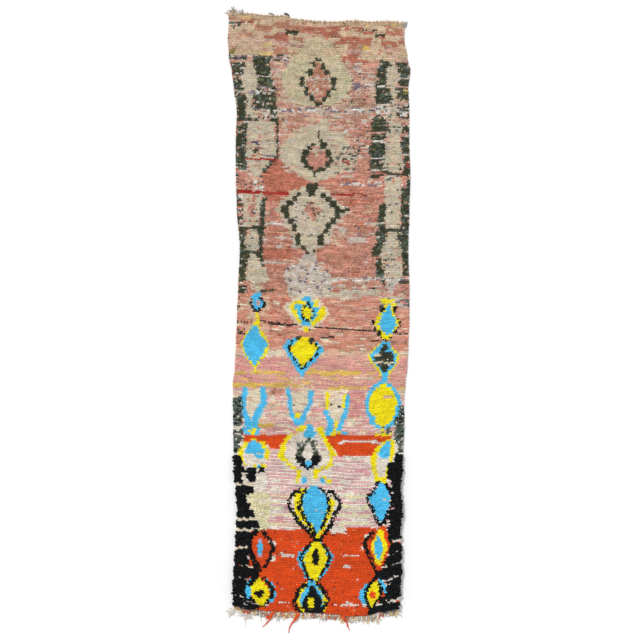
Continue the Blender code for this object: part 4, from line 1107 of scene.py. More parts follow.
    def middle_column(self) -> list:
        """The three lozenges down the middle of the foot."""
        return [
            Taper(Yarn.PALE_CREAM, ((-87.0, -12.0, 5.0), (-91.0, -14.6, 8.4), (-96.0, -14.6, 8.8), (-101.0, -11.0, 6.0),
                                    (-106.6, -6.6, 3.8))),
            Taper(Yarn.YELLOW, ((-86.4, -10.6, -5.6), (-88.6, -12.4, 0.0), (-90.4, -13.0, 5.6), (-93.0, -13.2, 8.0),
                                (-96.4, -12.4, 7.0), (-100.0, -11.0, 5.4), (-103.6, -8.2, 3.6), (-107.0, -5.2, 2.4),
                                (-110.6, -2.4, -0.2))),
            *patches(Yarn.PALE_CREAM, (4.2, 5.6, -89.0, -91.6), (6.2, 8.8, -95.6, -97.4), (5.6, 6.8, -98.0, -99.6)),
            chain((-10.0, -87.2), (-13.5, -88.8), (-15.6, -92.5), (-15.2, -95.6), (-13.1, -99.0), (-11.2, -101.7),
                  (-9.3, -104.6), (-5.8, -107.6), (-3.4, -110.6)),
            chain((4.2, -87.4), (6.6, -88.6), (8.7, -91.6), (10.3, -93.4), (9.4, -96.3), (7.6, -99.0), (6.4, -101.6),
                  (5.0, -105.0), (2.2, -109.3), (0.3, -111.0)),
            *patches(Yarn.BLACK, (3.8, 6.2, -104.2, -106.6)),
            chain((-6.6, -86.8), (-8.7, -89.4), (-9.4, -92.5), (-10.6, -94.8), (-9.8, -97.6), (-6.6, -102.3),
                  (-4.2, -105.8), (-2.6, -108.0)),
            chain((-1.6, -85.8), (1.2, -87.5), (3.8, -91.0), (4.6, -94.6), (3.6, -98.4), (2.2, -102.3), (0.5, -106.2)),
            Taper(Yarn.BLUE, ((-84.8, -4.4, -2.0), (-87.4, -6.0, 0.4), (-89.6, -8.0, 2.8), (-94.0, -9.0, 3.9),
                              (-97.1, -8.6, 3.4), (-101.7, -6.0, 1.6), (-105.0, -3.6, 0.4), (-108.0, -2.0, -0.9))),
            Streaks((Yarn.PEACH,), -4.0, 1.0, -96.5, -98.6, 0.25, 1.0),
            Taper(Yarn.BLUE, ((-112.8, -4.2, 1.0), (-115.0, -7.4, 3.2), (-118.0, -10.4, 5.6), (-120.8, -11.6, 6.8),
                              (-123.5, -10.4, 5.4), (-127.0, -8.8, 3.8), (-130.5, -7.4, 1.6), (-132.4, -5.8, -1.0))),
            chain((-3.4, -112.8), (-6.4, -115.5), (-8.4, -118.4), (-9.4, -120.6), (-8.2, -123.3), (-7.4, -126.2),
                  (-6.6, -129.2), (-4.6, -132.0)),
            chain((0.8, -113.0), (2.4, -115.5), (3.8, -118.4), (4.8, -120.8), (3.6, -123.3), (2.6, -125.6),
                  (1.1, -128.0), (-0.7, -131.2)),
            Taper(Yarn.YELLOW, ((-112.4, -3.0, -0.2), (-117.0, -5.6, 2.3), (-120.8, -8.2, 3.6), (-123.9, -7.5, 2.9),
                                (-127.7, -6.1, 0.9), (-131.5, -4.4, -1.4))),
            Taper(Yarn.BLACK, ((-116.8, -2.2, -1.0), (-119.0, -3.8, -0.8), (-123.9, -3.6, -0.4)), 1.0),
            Taper(Yarn.YELLOW, ((-133.0, -6.6, -2.0), (-135.8, -8.6, -0.2), (-139.0, -10.8, 2.8), (-142.5, -11.8, 3.6),
                                (-145.4, -10.8, 2.8), (-149.0, -9.0, 1.8))),
            Taper(Yarn.BLUE, ((-132.2, -5.9, -2.6), (-135.0, -7.0, -1.4), (-138.5, -9.0, 0.6), (-142.0, -10.2, 1.6),
                              (-145.4, -9.0, 1.4))),
            Taper(Yarn.BLACK, ((-134.6, -4.8, -2.8), (-138.2, -6.6, -1.2), (-141.4, -8.4, 0.6), (-145.0, -9.0, 1.0),
                               (-147.8, -7.6, 0.0))),
            *patches(Yarn.YELLOW, (-5.8, -3.1, -140.8, -145.4)),
            chain((-6.8, -133.8), (-9.2, -135.6), (-11.4, -138.0), (-11.8, -140.8), (-13.2, -142.6), (-12.2, -145.3),
                  (-9.8, -147.2)),
            chain((-1.6, -133.6), (1.1, -136.1), (3.5, -139.8), (4.0, -141.8), (2.6, -144.5), (0.8, -147.2)),
            *patches(Yarn.BLACK, (-4.8, -3.6, -131.6, -133.0), (-3.4, 0.8, -111.0, -112.5)),
        ]

    def left_column(self) -> list:
        """The two lozenges down the left of the foot."""
        return [
            *patches(Yarn.PALE_CREAM, (-25.4, -22.0, -112.4, -115.0), (-25.0, -22.4, -119.2, -123.0)),
            Taper(Yarn.ORANGE, ((-108.0, -31.0, -28.0), (-112.0, -33.8, -26.2), (-116.0, -34.4, -24.8),
                                (-120.0, -33.6, -26.0), (-125.0, -31.0, -28.2))),
            chain((-31.8, -107.8), (-34.4, -109.8), (-35.2, -112.2), (-34.9, -115.5), (-34.1, -118.5), (-33.0, -121.6),
                  (-31.5, -124.3), (-29.6, -127.2)),
            chain((-28.4, -107.8), (-26.3, -110.1), (-24.4, -113.2), (-23.2, -115.9), (-24.4, -119.3), (-25.9, -122.4),
                  (-27.7, -125.2)),
            *patches(Yarn.LILAC, (-30.8, -29.2, -111.4, -113.6), (-31.0, -28.8, -118.4, -120.4)),
            Taper(Yarn.BLUE, ((-112.8, -30.6, -29.2), (-115.0, -31.2, -28.4), (-118.6, -31.0, -28.6))),
            Taper(Yarn.BLUE, ((-130.2, -34.8, -32.6), (-132.4, -36.2, -31.0), (-136.0, -37.4, -34.0),
                              (-137.8, -37.0, -34.6))),
            Taper(Yarn.BLUE, ((-131.6, -27.6, -26.0), (-134.0, -26.2, -22.9), (-138.0, -24.4, -21.8),
                              (-141.4, -25.0, -22.2), (-143.0, -26.4, -24.6))),
            chain((-32.2, -131.2), (-34.6, -134.0)),
            *patches(Yarn.BLACK, (-38.0, -31.5, -140.2, -146.0)),
            Streaks((Yarn.PALE_CREAM,), -38.0, -30.0, -141.0, -145.6, 0.4, 1.6),
            chain((-28.4, -131.3), (-25.7, -133.0), (-23.8, -136.3), (-23.8, -139.6), (-25.7, -142.1), (-27.8, -144.0),
                  (-31.1, -145.3)),
            Taper(Yarn.YELLOW, ((-130.8, -31.6, -30.0), (-134.6, -34.5, -26.6), (-138.4, -34.9, -25.2),
                                (-141.5, -32.6, -26.1), (-144.2, -30.6, -28.6))),
            *patches(Yarn.BLACK, (-32.2, -29.8, -137.6, -139.0), (-30.6, -27.8, -136.8, -138.8)),
            *patches(Yarn.BLACK, (-31.2, -28.4, -138.6, -140.6)),
            *patches(Yarn.BLUE, (-36.8, -34.4, -138.0, -140.8)),
        ]

    def right_column(self) -> list:
        """The three lozenges down the right of the foot."""
        return [
            chain((29.0, -83.7), (27.1, -87.0), (24.6, -89.2), (23.5, -91.5), (24.8, -94.2), (26.7, -96.5),
                  (27.7, -100.0), (29.4, -103.2), (30.4, -104.6)),
            chain((33.2, -84.4), (34.9, -87.4), (35.8, -91.0), (34.9, -95.6), (33.0, -99.4), (31.4, -103.2)),
            Taper(Yarn.BLUE, ((-83.3, 30.2, 31.6), (-87.2, 27.7, 34.0), (-91.0, 24.6, 35.2), (-94.8, 26.2, 34.6),
                              (-98.6, 27.9, 32.6), (-101.7, 29.4, 31.4))),
            *patches(Yarn.PEACH, (31.4, 34.8, -91.6, -92.3)),
            *patches(Yarn.PALE_CREAM, (22.2, 24.6, -109.4, -112.0), (20.8, 22.6, -114.6, -117.0)),
            Taper(Yarn.ORANGE, ((-105.4, 29.6, 33.0), (-109.3, 26.3, 34.4), (-115.0, 24.0, 35.4),
                                (-120.0, 25.2, 33.6), (-126.4, 28.0, 30.0))),
            chain((26.3, -108.2), (24.2, -110.6), (22.3, -113.4), (23.1, -115.9), (24.4, -119.3), (25.9, -122.4),
                  (27.7, -126.0)),
            *patches(Yarn.BLACK, (34.0, 35.6, -110.4, -112.4), (34.6, 36.0, -116.6, -118.4)),
            Taper(Yarn.YELLOW, ((-106.6, 29.4, 31.4), (-111.3, 27.0, 32.4), (-115.5, 25.2, 34.0),
                                (-119.3, 26.7, 32.4), (-124.0, 28.2, 30.2))),
            Taper(Yarn.BLUE, ((-110.0, 28.8, 29.8), (-113.5, 27.3, 31.3), (-117.0, 27.5, 31.1), (-121.4, 28.8, 30.0))),
            Taper(Yarn.BLUE, ((-134.0, 22.4, 25.4), (-137.0, 20.4, 23.4), (-140.0, 19.4, 22.4), (-143.6, 20.8, 22.8))),
            *patches(Yarn.BLACK, (29.6, 32.6, -140.0, -143.4)),
            Taper(Yarn.BLUE, ((-131.8, 28.6, 31.0), (-134.4, 30.4, 32.8), (-138.0, 31.4, 33.2))),
            chain((26.8, -131.7), (25.2, -134.0), (23.6, -136.4), (22.7, -139.2), (23.2, -142.3), (24.4, -144.8)),
            chain((29.0, -133.1), (30.7, -136.1), (30.2, -139.2), (27.9, -142.3), (26.1, -144.8)),
            Taper(Yarn.YELLOW, ((-132.7, 27.1, 28.6), (-136.5, 24.4, 29.9), (-139.9, 23.1, 29.5),
                                (-142.6, 24.4, 27.4), (-145.4, 25.0, 26.0))),
            Lozenge(26.4, -139.4, 1.5, ring_set((Yarn.ORANGE, 1.7, 2.3, 2.3))),
        ]


# Finishes


class Sheet:
    """A node tree that is being laid out."""

    def __init__(self, tree: bpy.types.NodeTree) -> None:
        """Starts on an empty tree."""
        self.tree = tree
        self.tree.nodes.clear()

    def add(self, kind: str, inputs: dict | None = None, **settings: object) -> bpy.types.Node:
        """Adds a node.

        Args:
            kind: The node's type.
            inputs: For each input, by name or number, another node's socket or a plain value.
            settings: The node's own settings.

        Returns:
            The node.
        """
        made = self.tree.nodes.new(kind)
        for name, value in settings.items():
            setattr(made, name, value)
        for key, value in (inputs or {}).items():
            if isinstance(value, bpy.types.NodeSocket):
                self.tree.links.new(value, made.inputs[key])
            else:
                made.inputs[key].default_value = value
        return made


def add_sockets(tree: bpy.types.NodeTree, direction: str, sockets: dict) -> None:
    """Gives a node group its named inputs or outputs.

    Args:
        tree: The group.
        direction: INPUT or OUTPUT.
        sockets: For each name, the kind of socket and its default, or None.
    """
    for name, (kind, default) in sockets.items():
        made = tree.interface.new_socket(name=name, in_out=direction, socket_type="NodeSocket" + kind)
        if default is not None:
            made.default_value = default


def fibre_grain() -> bpy.types.NodeTree:
    """The wool's fibres: a fine uneven grain in its colour and its height, drawn out along the rows.

    Returns:
        The shader group, made once and used by every yarn finish.
    """
    name = "fibre_grain"
    if name in bpy.data.node_groups:
        return bpy.data.node_groups[name]
    group = bpy.data.node_groups.new(name, "ShaderNodeTree")
    sheet = Sheet(group)
    inputs = {"Dye": ("Color", None), "Fibre Scale": ("Float", 400.0), "Row Stretch": ("Float", 0.5)}
    inputs["Contrast"] = ("Float", 0.2)
    add_sockets(group, "INPUT", inputs)
    add_sockets(group, "OUTPUT", {"Colour": ("Color", None), "Height": ("Float", None)})
    given = sheet.add("NodeGroupInput")
    place = sheet.add("ShaderNodeTexCoord")
    stretch = sheet.add("ShaderNodeCombineXYZ", {0: given.outputs["Row Stretch"], 1: 1.0, 2: 1.0})
    drawn = sheet.add("ShaderNodeVectorMath", {0: place.outputs["Object"], 1: stretch.outputs[0]}, operation="MULTIPLY")
    fine_inputs = {"Vector": drawn.outputs[0], "Scale": given.outputs["Fibre Scale"], "Detail": 3.0}
    fine = sheet.add("ShaderNodeTexNoise", fine_inputs)
    broad = sheet.add("ShaderNodeTexNoise", {"Vector": drawn.outputs[0], "Scale": 55.0, "Detail": 2.0})
    both = sheet.add("ShaderNodeMath", {0: fine.outputs["Fac"], 1: broad.outputs["Fac"]}, operation="ADD")
    centred = sheet.add("ShaderNodeMath", {0: both.outputs[0], 1: 1.0}, operation="SUBTRACT")
    shade_inputs = {0: centred.outputs[0], 1: given.outputs["Contrast"], 2: 1.0}
    shade = sheet.add("ShaderNodeMath", shade_inputs, operation="MULTIPLY_ADD")
    tinted = sheet.add("ShaderNodeVectorMath", {0: given.outputs["Dye"], 1: shade.outputs[0]}, operation="MULTIPLY")
    sheet.add("NodeGroupOutput", {"Colour": tinted.outputs[0], "Height": both.outputs[0]})
    return group


@dataclass(frozen=True)
class YarnFinish:
    """A finish for yarn, whose colour comes from the dye of each knot or strand."""

    name: str
    fibre_scale: float
    row_stretch: float
    contrast: float
    roughness: float
    sheen: float
    bump: float
    bump_depth: float

    def material(self) -> bpy.types.Material:
        """Makes the material."""
        made = bpy.data.materials.new(self.name)
        made.use_nodes = True
        sheet = Sheet(made.node_tree)
        dyed = sheet.add("ShaderNodeAttribute", attribute_name=COLOUR_LAYER, attribute_type="GEOMETRY")
        grain = sheet.add("ShaderNodeGroup", node_tree=fibre_grain())
        sheet.tree.links.new(dyed.outputs["Color"], grain.inputs["Dye"])
        grain.inputs["Fibre Scale"].default_value = self.fibre_scale
        grain.inputs["Row Stretch"].default_value = self.row_stretch
        grain.inputs["Contrast"].default_value = self.contrast
        bump_inputs = {"Strength": self.bump, "Distance": self.bump_depth, "Height": grain.outputs["Height"]}
        bump = sheet.add("ShaderNodeBump", bump_inputs)
        shader = sheet.add(
            "ShaderNodeBsdfPrincipled",
            {
                "Base Color": grain.outputs["Colour"],
                "Roughness": self.roughness,
                "Specular IOR Level": 0.18,
                "Sheen Weight": self.sheen,
                "Sheen Roughness": 0.6,
                "Normal": bump.outputs["Normal"],
            },
        )
        sheet.add("ShaderNodeOutputMaterial", {"Surface": shader.outputs["BSDF"]})
        return made


PILE_FINISH = YarnFinish("knotted_pile", 420.0, 0.6, 0.22, 0.92, 0.04, 0.5, 0.0008)
GROUND_FINISH = YarnFinish("woven_ground", 500.0, 0.4, 0.30, 0.95, 0.05, 0.7, 0.0010)
SHAG_FINISH = YarnFinish("shag_yarn", 700.0, 1.0, 0.35, 0.88, 0.02, 0.6, 0.0007)
FRINGE_FINISH = YarnFinish("fringe_yarn", 900.0, 1.0, 0.25, 0.90, 0.10, 0.6, 0.0005)


# Making meshes


class Turning(Enum):
    """Which way the faces of a grid point."""

    UP = 1
    DOWN = -1


def link_object(name: str, mesh: bpy.types.Mesh) -> bpy.types.Object:
    """Puts a mesh into the scene as an object at the origin."""
    made = bpy.data.objects.new(name, mesh)
    bpy.context.scene.collection.objects.link(made)
    return made


def set_layer(mesh: bpy.types.Mesh, name: str, values: np.ndarray) -> None:
    """Writes a value for each point of a mesh: one number, three, or a colour of three.

    Args:
        mesh: The mesh.
        name: The layer's name.
        values: A row for each point.
    """
    if name == COLOUR_LAYER:
        full = np.concatenate([values, np.ones((len(values), 1))], axis=1)
        layer = mesh.attributes.new(name, "FLOAT_COLOR", "POINT")
        layer.data.foreach_set("color", full.astype(np.float32).ravel())
    elif values.ndim == 1:
        layer = mesh.attributes.new(name, "FLOAT", "POINT")
        layer.data.foreach_set("value", values.astype(np.float32))
    else:
        layer = mesh.attributes.new(name, "FLOAT_VECTOR", "POINT")
        layer.data.foreach_set("vector", values.astype(np.float32).ravel())


def knot_tree(finish: bpy.types.Material) -> bpy.types.NodeTree:
    """The tree that ties a tuft at each point.

    Args:
        finish: The tufts' material.

    Returns:
        A tree with inputs for the tufts' sizes, their unevenness and a seed.
    """
    tree = bpy.data.node_groups.new("tie_knots_" + finish.name, "GeometryNodeTree")
    inputs = {
        "Knots": ("Geometry", None),
        "Tuft Width": ("Float", 1.0),
        "Tuft Depth": ("Float", 1.0),
        "Tuft Height": ("Float", 1.0),
        "Unevenness": ("Float", 0.2),
        "Seed": ("Int", 0),
    }
    sheet = Sheet(tree)
    add_sockets(tree, "INPUT", inputs)
    add_sockets(tree, "OUTPUT", {"Pile": ("Geometry", None)})
    given = sheet.add("NodeGroupInput")
    tuft = sheet.add("GeometryNodeMeshIcoSphere", {"Radius": 1.0, "Subdivisions": 1})
    size = sheet.add("GeometryNodeInputNamedAttribute", {"Name": SIZE_LAYER}, data_type="FLOAT_VECTOR")
    turn = sheet.add("GeometryNodeInputNamedAttribute", {"Name": TURN_LAYER}, data_type="FLOAT_VECTOR")
    sizes = {0: given.outputs["Tuft Width"], 1: given.outputs["Tuft Depth"], 2: given.outputs["Tuft Height"]}
    wanted = sheet.add("ShaderNodeCombineXYZ", sizes)
    scaled = sheet.add("ShaderNodeVectorMath", {0: size.outputs[0], 1: wanted.outputs[0]}, operation="MULTIPLY")
    least = sheet.add("ShaderNodeMath", {0: 1.0, 1: given.outputs["Unevenness"]}, operation="SUBTRACT")
    most = sheet.add("ShaderNodeMath", {0: 1.0, 1: given.outputs["Unevenness"]}, operation="ADD")
    spread_inputs = {0: least.outputs[0], 1: most.outputs[0], "Seed": given.outputs["Seed"]}
    spread = sheet.add("FunctionNodeRandomValue", spread_inputs, data_type="FLOAT_VECTOR")
    uneven = sheet.add("ShaderNodeVectorMath", {0: scaled.outputs[0], 1: spread.outputs[0]}, operation="MULTIPLY")
    turned = sheet.add("FunctionNodeEulerToRotation", {"Euler": turn.outputs[0]})
    tied = sheet.add(
        "GeometryNodeInstanceOnPoints",
        {
            "Points": given.outputs["Knots"],
            "Instance": tuft.outputs["Mesh"],
            "Rotation": turned.outputs["Rotation"],
            "Scale": uneven.outputs[0],
        },
    )
    real = sheet.add("GeometryNodeRealizeInstances", {"Geometry": tied.outputs["Instances"]})
    smooth = sheet.add("GeometryNodeSetShadeSmooth", {"Geometry": real.outputs["Geometry"]})
    dressed = sheet.add("GeometryNodeSetMaterial", {"Geometry": smooth.outputs["Geometry"], "Material": finish})
    sheet.add("NodeGroupOutput", {"Pile": dressed.outputs["Geometry"]})
    return tree


def strand_tree(finish: bpy.types.Material) -> bpy.types.NodeTree:
    """The tree that turns lines of points into strands of yarn.

    Args:
        finish: The strands' material.

    Returns:
        A tree with inputs for the strands' sides, smoothness and thickness.
    """
    tree = bpy.data.node_groups.new("spin_strands_" + finish.name, "GeometryNodeTree")
    inputs = {
        "Lines": ("Geometry", None),
        "Sides": ("Int", 5),
        "Smoothness": ("Int", 2),
        "Thickness": ("Float", 1.0),
    }
    sheet = Sheet(tree)
    add_sockets(tree, "INPUT", inputs)
    add_sockets(tree, "OUTPUT", {"Strands": ("Geometry", None)})
    given = sheet.add("NodeGroupInput")
    line = sheet.add("GeometryNodeMeshToCurve", {"Mesh": given.outputs["Lines"]})
    curved = sheet.add("GeometryNodeCurveSplineType", {"Curve": line.outputs["Curve"]}, spline_type="CATMULL_ROM")
    fine_inputs = {"Geometry": curved.outputs["Curve"], "Resolution": given.outputs["Smoothness"]}
    fine = sheet.add("GeometryNodeSetSplineResolution", fine_inputs)
    ring_inputs = {"Resolution": given.outputs["Sides"], "Radius": given.outputs["Thickness"]}
    ring = sheet.add("GeometryNodeCurvePrimitiveCircle", ring_inputs, mode="RADIUS")
    radius = sheet.add("GeometryNodeInputNamedAttribute", {"Name": RADIUS_LAYER}, data_type="FLOAT")
    tube_inputs = {
        "Curve": fine.outputs["Geometry"],
        "Profile Curve": ring.outputs["Curve"],
        "Scale": radius.outputs[0],
        "Fill Caps": True,
    }
    tube = sheet.add("GeometryNodeCurveToMesh", tube_inputs)
    real = sheet.add("GeometryNodeRealizeInstances", {"Geometry": tube.outputs["Mesh"]})
    smooth = sheet.add("GeometryNodeSetShadeSmooth", {"Geometry": real.outputs["Geometry"]})
    dressed = sheet.add("GeometryNodeSetMaterial", {"Geometry": smooth.outputs["Geometry"], "Material": finish})
    sheet.add("NodeGroupOutput", {"Strands": dressed.outputs["Geometry"]})
    return tree


def grow(name: str, start: bpy.types.Mesh, tree: bpy.types.NodeTree, settings: dict) -> bpy.types.Object:
    """Runs a geometry tree on a mesh and keeps what comes out as a plain mesh.

    Args:
        name: The finished piece's name.
        start: The mesh that the tree starts from.
        tree: The tree.
        settings: Values for the tree's named inputs.

    Returns:
        The finished piece, at the origin and with no modifier.
    """
    base = link_object(name + "_start", start)
    modifier = base.modifiers.new(name, "NODES")
    modifier.node_group = tree
    sockets = {item.name: item.identifier for item in tree.interface.items_tree if item.in_out == "INPUT"}
    for label, value in settings.items():
        modifier[sockets[label]] = value
    depsgraph = bpy.context.evaluated_depsgraph_get()
    evaluated = base.evaluated_get(depsgraph)
    mesh = bpy.data.meshes.new_from_object(evaluated, preserve_all_data_layers=True, depsgraph=depsgraph)
    bpy.data.objects.remove(base, do_unlink=True)
    bpy.data.meshes.remove(start)
    mesh.name = name
    for layer in (SIZE_LAYER, TURN_LAYER, RADIUS_LAYER):
        if layer in mesh.attributes:
            mesh.attributes.remove(mesh.attributes[layer])
    return link_object(name, mesh)


@dataclass
class Strands:
    """Strands of yarn waiting to be spun: the points, thickness and colour of each."""

    points: list = field(default_factory=list)
    radii: list = field(default_factory=list)
    colours: list = field(default_factory=list)

    def add(self, points: np.ndarray, radii: np.ndarray, colour: np.ndarray) -> None:
        """Adds one strand.

        Args:
            points: Its points, a row each.
            radii: Its radius at each point.
            colour: Its linear colour.
        """
        self.points.append(points)
        self.radii.append(radii)
        self.colours.append(np.tile(colour, (len(points), 1)))

    def spin(self, name: str, tree: bpy.types.NodeTree, sides: int, smoothness: int) -> bpy.types.Object:
        """Makes all of the strands one mesh.

        Args:
            name: The piece's name.
            tree: The tree that spins strands.
            sides: How many sides a strand has.
            smoothness: How many steps there are between two of its points.

        Returns:
            The finished piece.
        """
        edges = []
        start = 0
        for points in self.points:
            edges += [(start + step, start + step + 1) for step in range(len(points) - 1)]
            start += len(points)
        mesh = bpy.data.meshes.new(name + "_lines")
        mesh.from_pydata(np.concatenate(self.points).tolist(), edges, [])
        set_layer(mesh, RADIUS_LAYER, np.concatenate(self.radii))
        set_layer(mesh, COLOUR_LAYER, np.concatenate(self.colours))
        return grow(name, mesh, tree, {"Sides": sides, "Smoothness": smoothness, "Thickness": 1.0})


def grid_faces(rows: int, columns: int, start: int, turning: Turning) -> list:
    """The faces of a grid of points.

    Args:
        rows: How many rows of points it has.
        columns: How many points there are in a row.
        start: The number of its first point.
        turning: Which way its faces point.

    Returns:
        The faces as lists of four points.
    """
    row, column = np.meshgrid(np.arange(rows - 1), np.arange(columns - 1), indexing="ij")
    first = (start + row * columns + column).ravel()
    corners = np.stack([first, first + 1, first + 1 + columns, first + columns], axis=1)
    return corners[:, :: turning.value].tolist()


def report(piece: bpy.types.Object) -> None:
    """Writes a piece's name and size to the log."""
    log.info("%s: %d points, %d faces", piece.name, len(piece.data.vertices), len(piece.data.polygons))


def dress(piece: bpy.types.Object, slot: str, *nodes: str) -> bpy.types.Object:
    """Makes a piece ride with the rug and stand for the solids that it covers."""
    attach(piece, BODY)
    if nodes:
        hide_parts(*nodes)
    report(piece)
    return piece


# The rug


@dataclass
class GroundCloth:
    """The woven ground under the knots: one thin closed cloth, which shows the pattern on its back too."""

    plan: Plan
    chart: Chart
    colours: np.ndarray
    rows: int = 232
    columns: int = 72
    tuck: float = 0.0015
    bulge: float = 0.0012
    rim_height: float = 0.55

    def colour_at(self, share: np.ndarray, along: np.ndarray) -> np.ndarray:
        """The colour of the nearest knot to each point of the plan."""
        row = np.clip((along * self.chart.rows).astype(int), 0, self.chart.rows - 1)
        column = np.clip((share * self.chart.columns).astype(int), 0, self.chart.columns - 1)
        return self.colours[row, column]

    def build(self) -> bpy.types.Object:
        """Makes the cloth as a top, a back and a rounded rim between them."""
        share = np.linspace(0.0, 1.0, self.columns)[None, :]
        along = np.linspace(0.0, 1.0, self.rows)[:, None]
        share, along = np.broadcast_arrays(share, along)
        x, y, _ = self.plan.place(share, along)
        top = self.plan.pile_top(x, y) - 1.15 * read_table(PILE, 3, y)
        middle = x - np.sign(x) * self.tuck * (np.abs(share - 0.5) > 0.49)
        count = self.rows * self.columns
        upper = np.stack([x, y, top], axis=-1).reshape(count, 3)
        lower = np.stack([middle, y, np.zeros_like(y)], axis=-1).reshape(count, 3)
        rim = self.rim()
        bulged = self.bulged(upper, rim)
        points = np.concatenate([upper, lower, bulged])
        faces = grid_faces(self.rows, self.columns, 0, Turning.UP)
        faces += grid_faces(self.rows, self.columns, count, Turning.DOWN)
        faces += self.walls(rim, count)
        mesh = bpy.data.meshes.new("ground_cloth")
        mesh.from_pydata(points.tolist(), [], faces)
        shades = self.colour_at(share, along).reshape(count, 3)
        # Painted shade: the top and rim take 0.92 of the knots' colours and the back 0.9, darkened for the shade that
        # falls between and under the knots.
        set_layer(mesh, COLOUR_LAYER, np.concatenate([shades * 0.92, shades * 0.9, shades[rim] * 0.92]))
        mesh.shade_smooth()
        mesh.materials.append(GROUND_FINISH.material())
        return link_object("ground_cloth", mesh)

    def rim(self) -> np.ndarray:
        """The numbers of the grid's points round its rim, the foot's first and then leftwards round."""
        foot = np.arange(self.columns)
        right = np.arange(1, self.rows) * self.columns + self.columns - 1
        head = (self.rows - 1) * self.columns + np.arange(self.columns - 1)[::-1]
        left = np.arange(1, self.rows - 1)[::-1] * self.columns
        return np.concatenate([foot, right, head, left])

    def bulged(self, upper: np.ndarray, rim: np.ndarray) -> np.ndarray:
        """The rim's points half way down, a little further out than its top."""
        points = upper[rim]
        run = np.roll(points, -1, axis=0) - np.roll(points, 1, axis=0)
        out = np.stack([run[:, 1], -run[:, 0]], axis=1)
        out /= np.linalg.norm(out, axis=1, keepdims=True)
        wave = 0.6 + 0.4 * np.sin(np.arange(len(rim)) * 2.1)
        plan = points[:, :2] + out * self.bulge * wave[:, None]
        return np.concatenate([plan, points[:, 2:] * self.rim_height], axis=1)

    def walls(self, rim: np.ndarray, count: int) -> list:
        """The rim's faces, from the back out to the bulge and in again to the top."""
        around = len(rim)
        step = np.arange(around)
        after = (step + 1) % around
        bulge = 2 * count + step
        next_bulge = 2 * count + after
        low = np.stack([rim + count, rim[after] + count, next_bulge, bulge], axis=1)
        high = np.stack([bulge, next_bulge, rim[after], rim], axis=1)
        return low.tolist() + high.tolist()


@dataclass
class Pile:
    """The tied knots, in five pieces from the head to the foot."""

    plan: Plan
    chart: Chart
    colours: np.ndarray
    tree: bpy.types.NodeTree
    names: tuple = ("pile_foot", "pile_lower", "pile_middle", "pile_upper", "pile_head")
    half_width: float = 0.0047
    half_depth: float = 0.0046
    turn: float = 0.35
    tilt: float = 0.22
    seed: int = 17

    def build(self) -> list:
        """Ties the knots of each piece."""
        draws = np.random.default_rng(self.seed)
        x = self.chart.x * CENTIMETRE
        y = self.chart.y * CENTIMETRE
        shag = self.plan.shag(x, y)
        half = read_table(PILE, 3, y)
        lump = draws.normal(0.0, 0.35, x.shape) * read_table(PILE, 2, y)
        x = x + draws.normal(0.0, 0.0007, x.shape)
        y = y + draws.normal(0.0, 0.0006, x.shape)
        z = self.plan.pile_top(x, y) - half + lump
        corded = np.isin(self.chart.tied, [YARN_NUMBER[yarn] for yarn in (Yarn.STRIPE_PINK, Yarn.PALE_CREAM)])
        corded &= self.chart.y < -37.0
        wide = self.half_width * (1.0 + 0.25 * corded + 0.35 * shag)
        deep = self.half_depth * (1.0 - 0.06 * corded + 0.35 * shag)
        sizes = np.stack([wide, deep, half * (1.0 + 0.5 * shag)], axis=-1)
        spread = np.array([self.tilt, self.tilt, self.turn])
        turns = draws.normal(0.0, 1.0, (*x.shape, 3)) * spread
        points = np.stack([x, y, z], axis=-1)
        bounds = np.linspace(0, self.chart.rows, len(self.names) + 1).astype(int)
        made = []
        for number, name in enumerate(self.names):
            rows = slice(bounds[number], bounds[number + 1])
            mesh = bpy.data.meshes.new(name + "_knots")
            mesh.from_pydata(points[rows].reshape(-1, 3).tolist(), [], [])
            set_layer(mesh, SIZE_LAYER, sizes[rows].reshape(-1, 3))
            set_layer(mesh, TURN_LAYER, turns[rows].reshape(-1, 3))
            set_layer(mesh, COLOUR_LAYER, self.colours[rows].reshape(-1, 3))
            settings = {"Tuft Width": 1.0, "Tuft Depth": 1.0, "Tuft Height": 1.0, "Unevenness": 0.18, "Seed": number}
            made.append(grow(name, mesh, self.tree, settings))
        return made


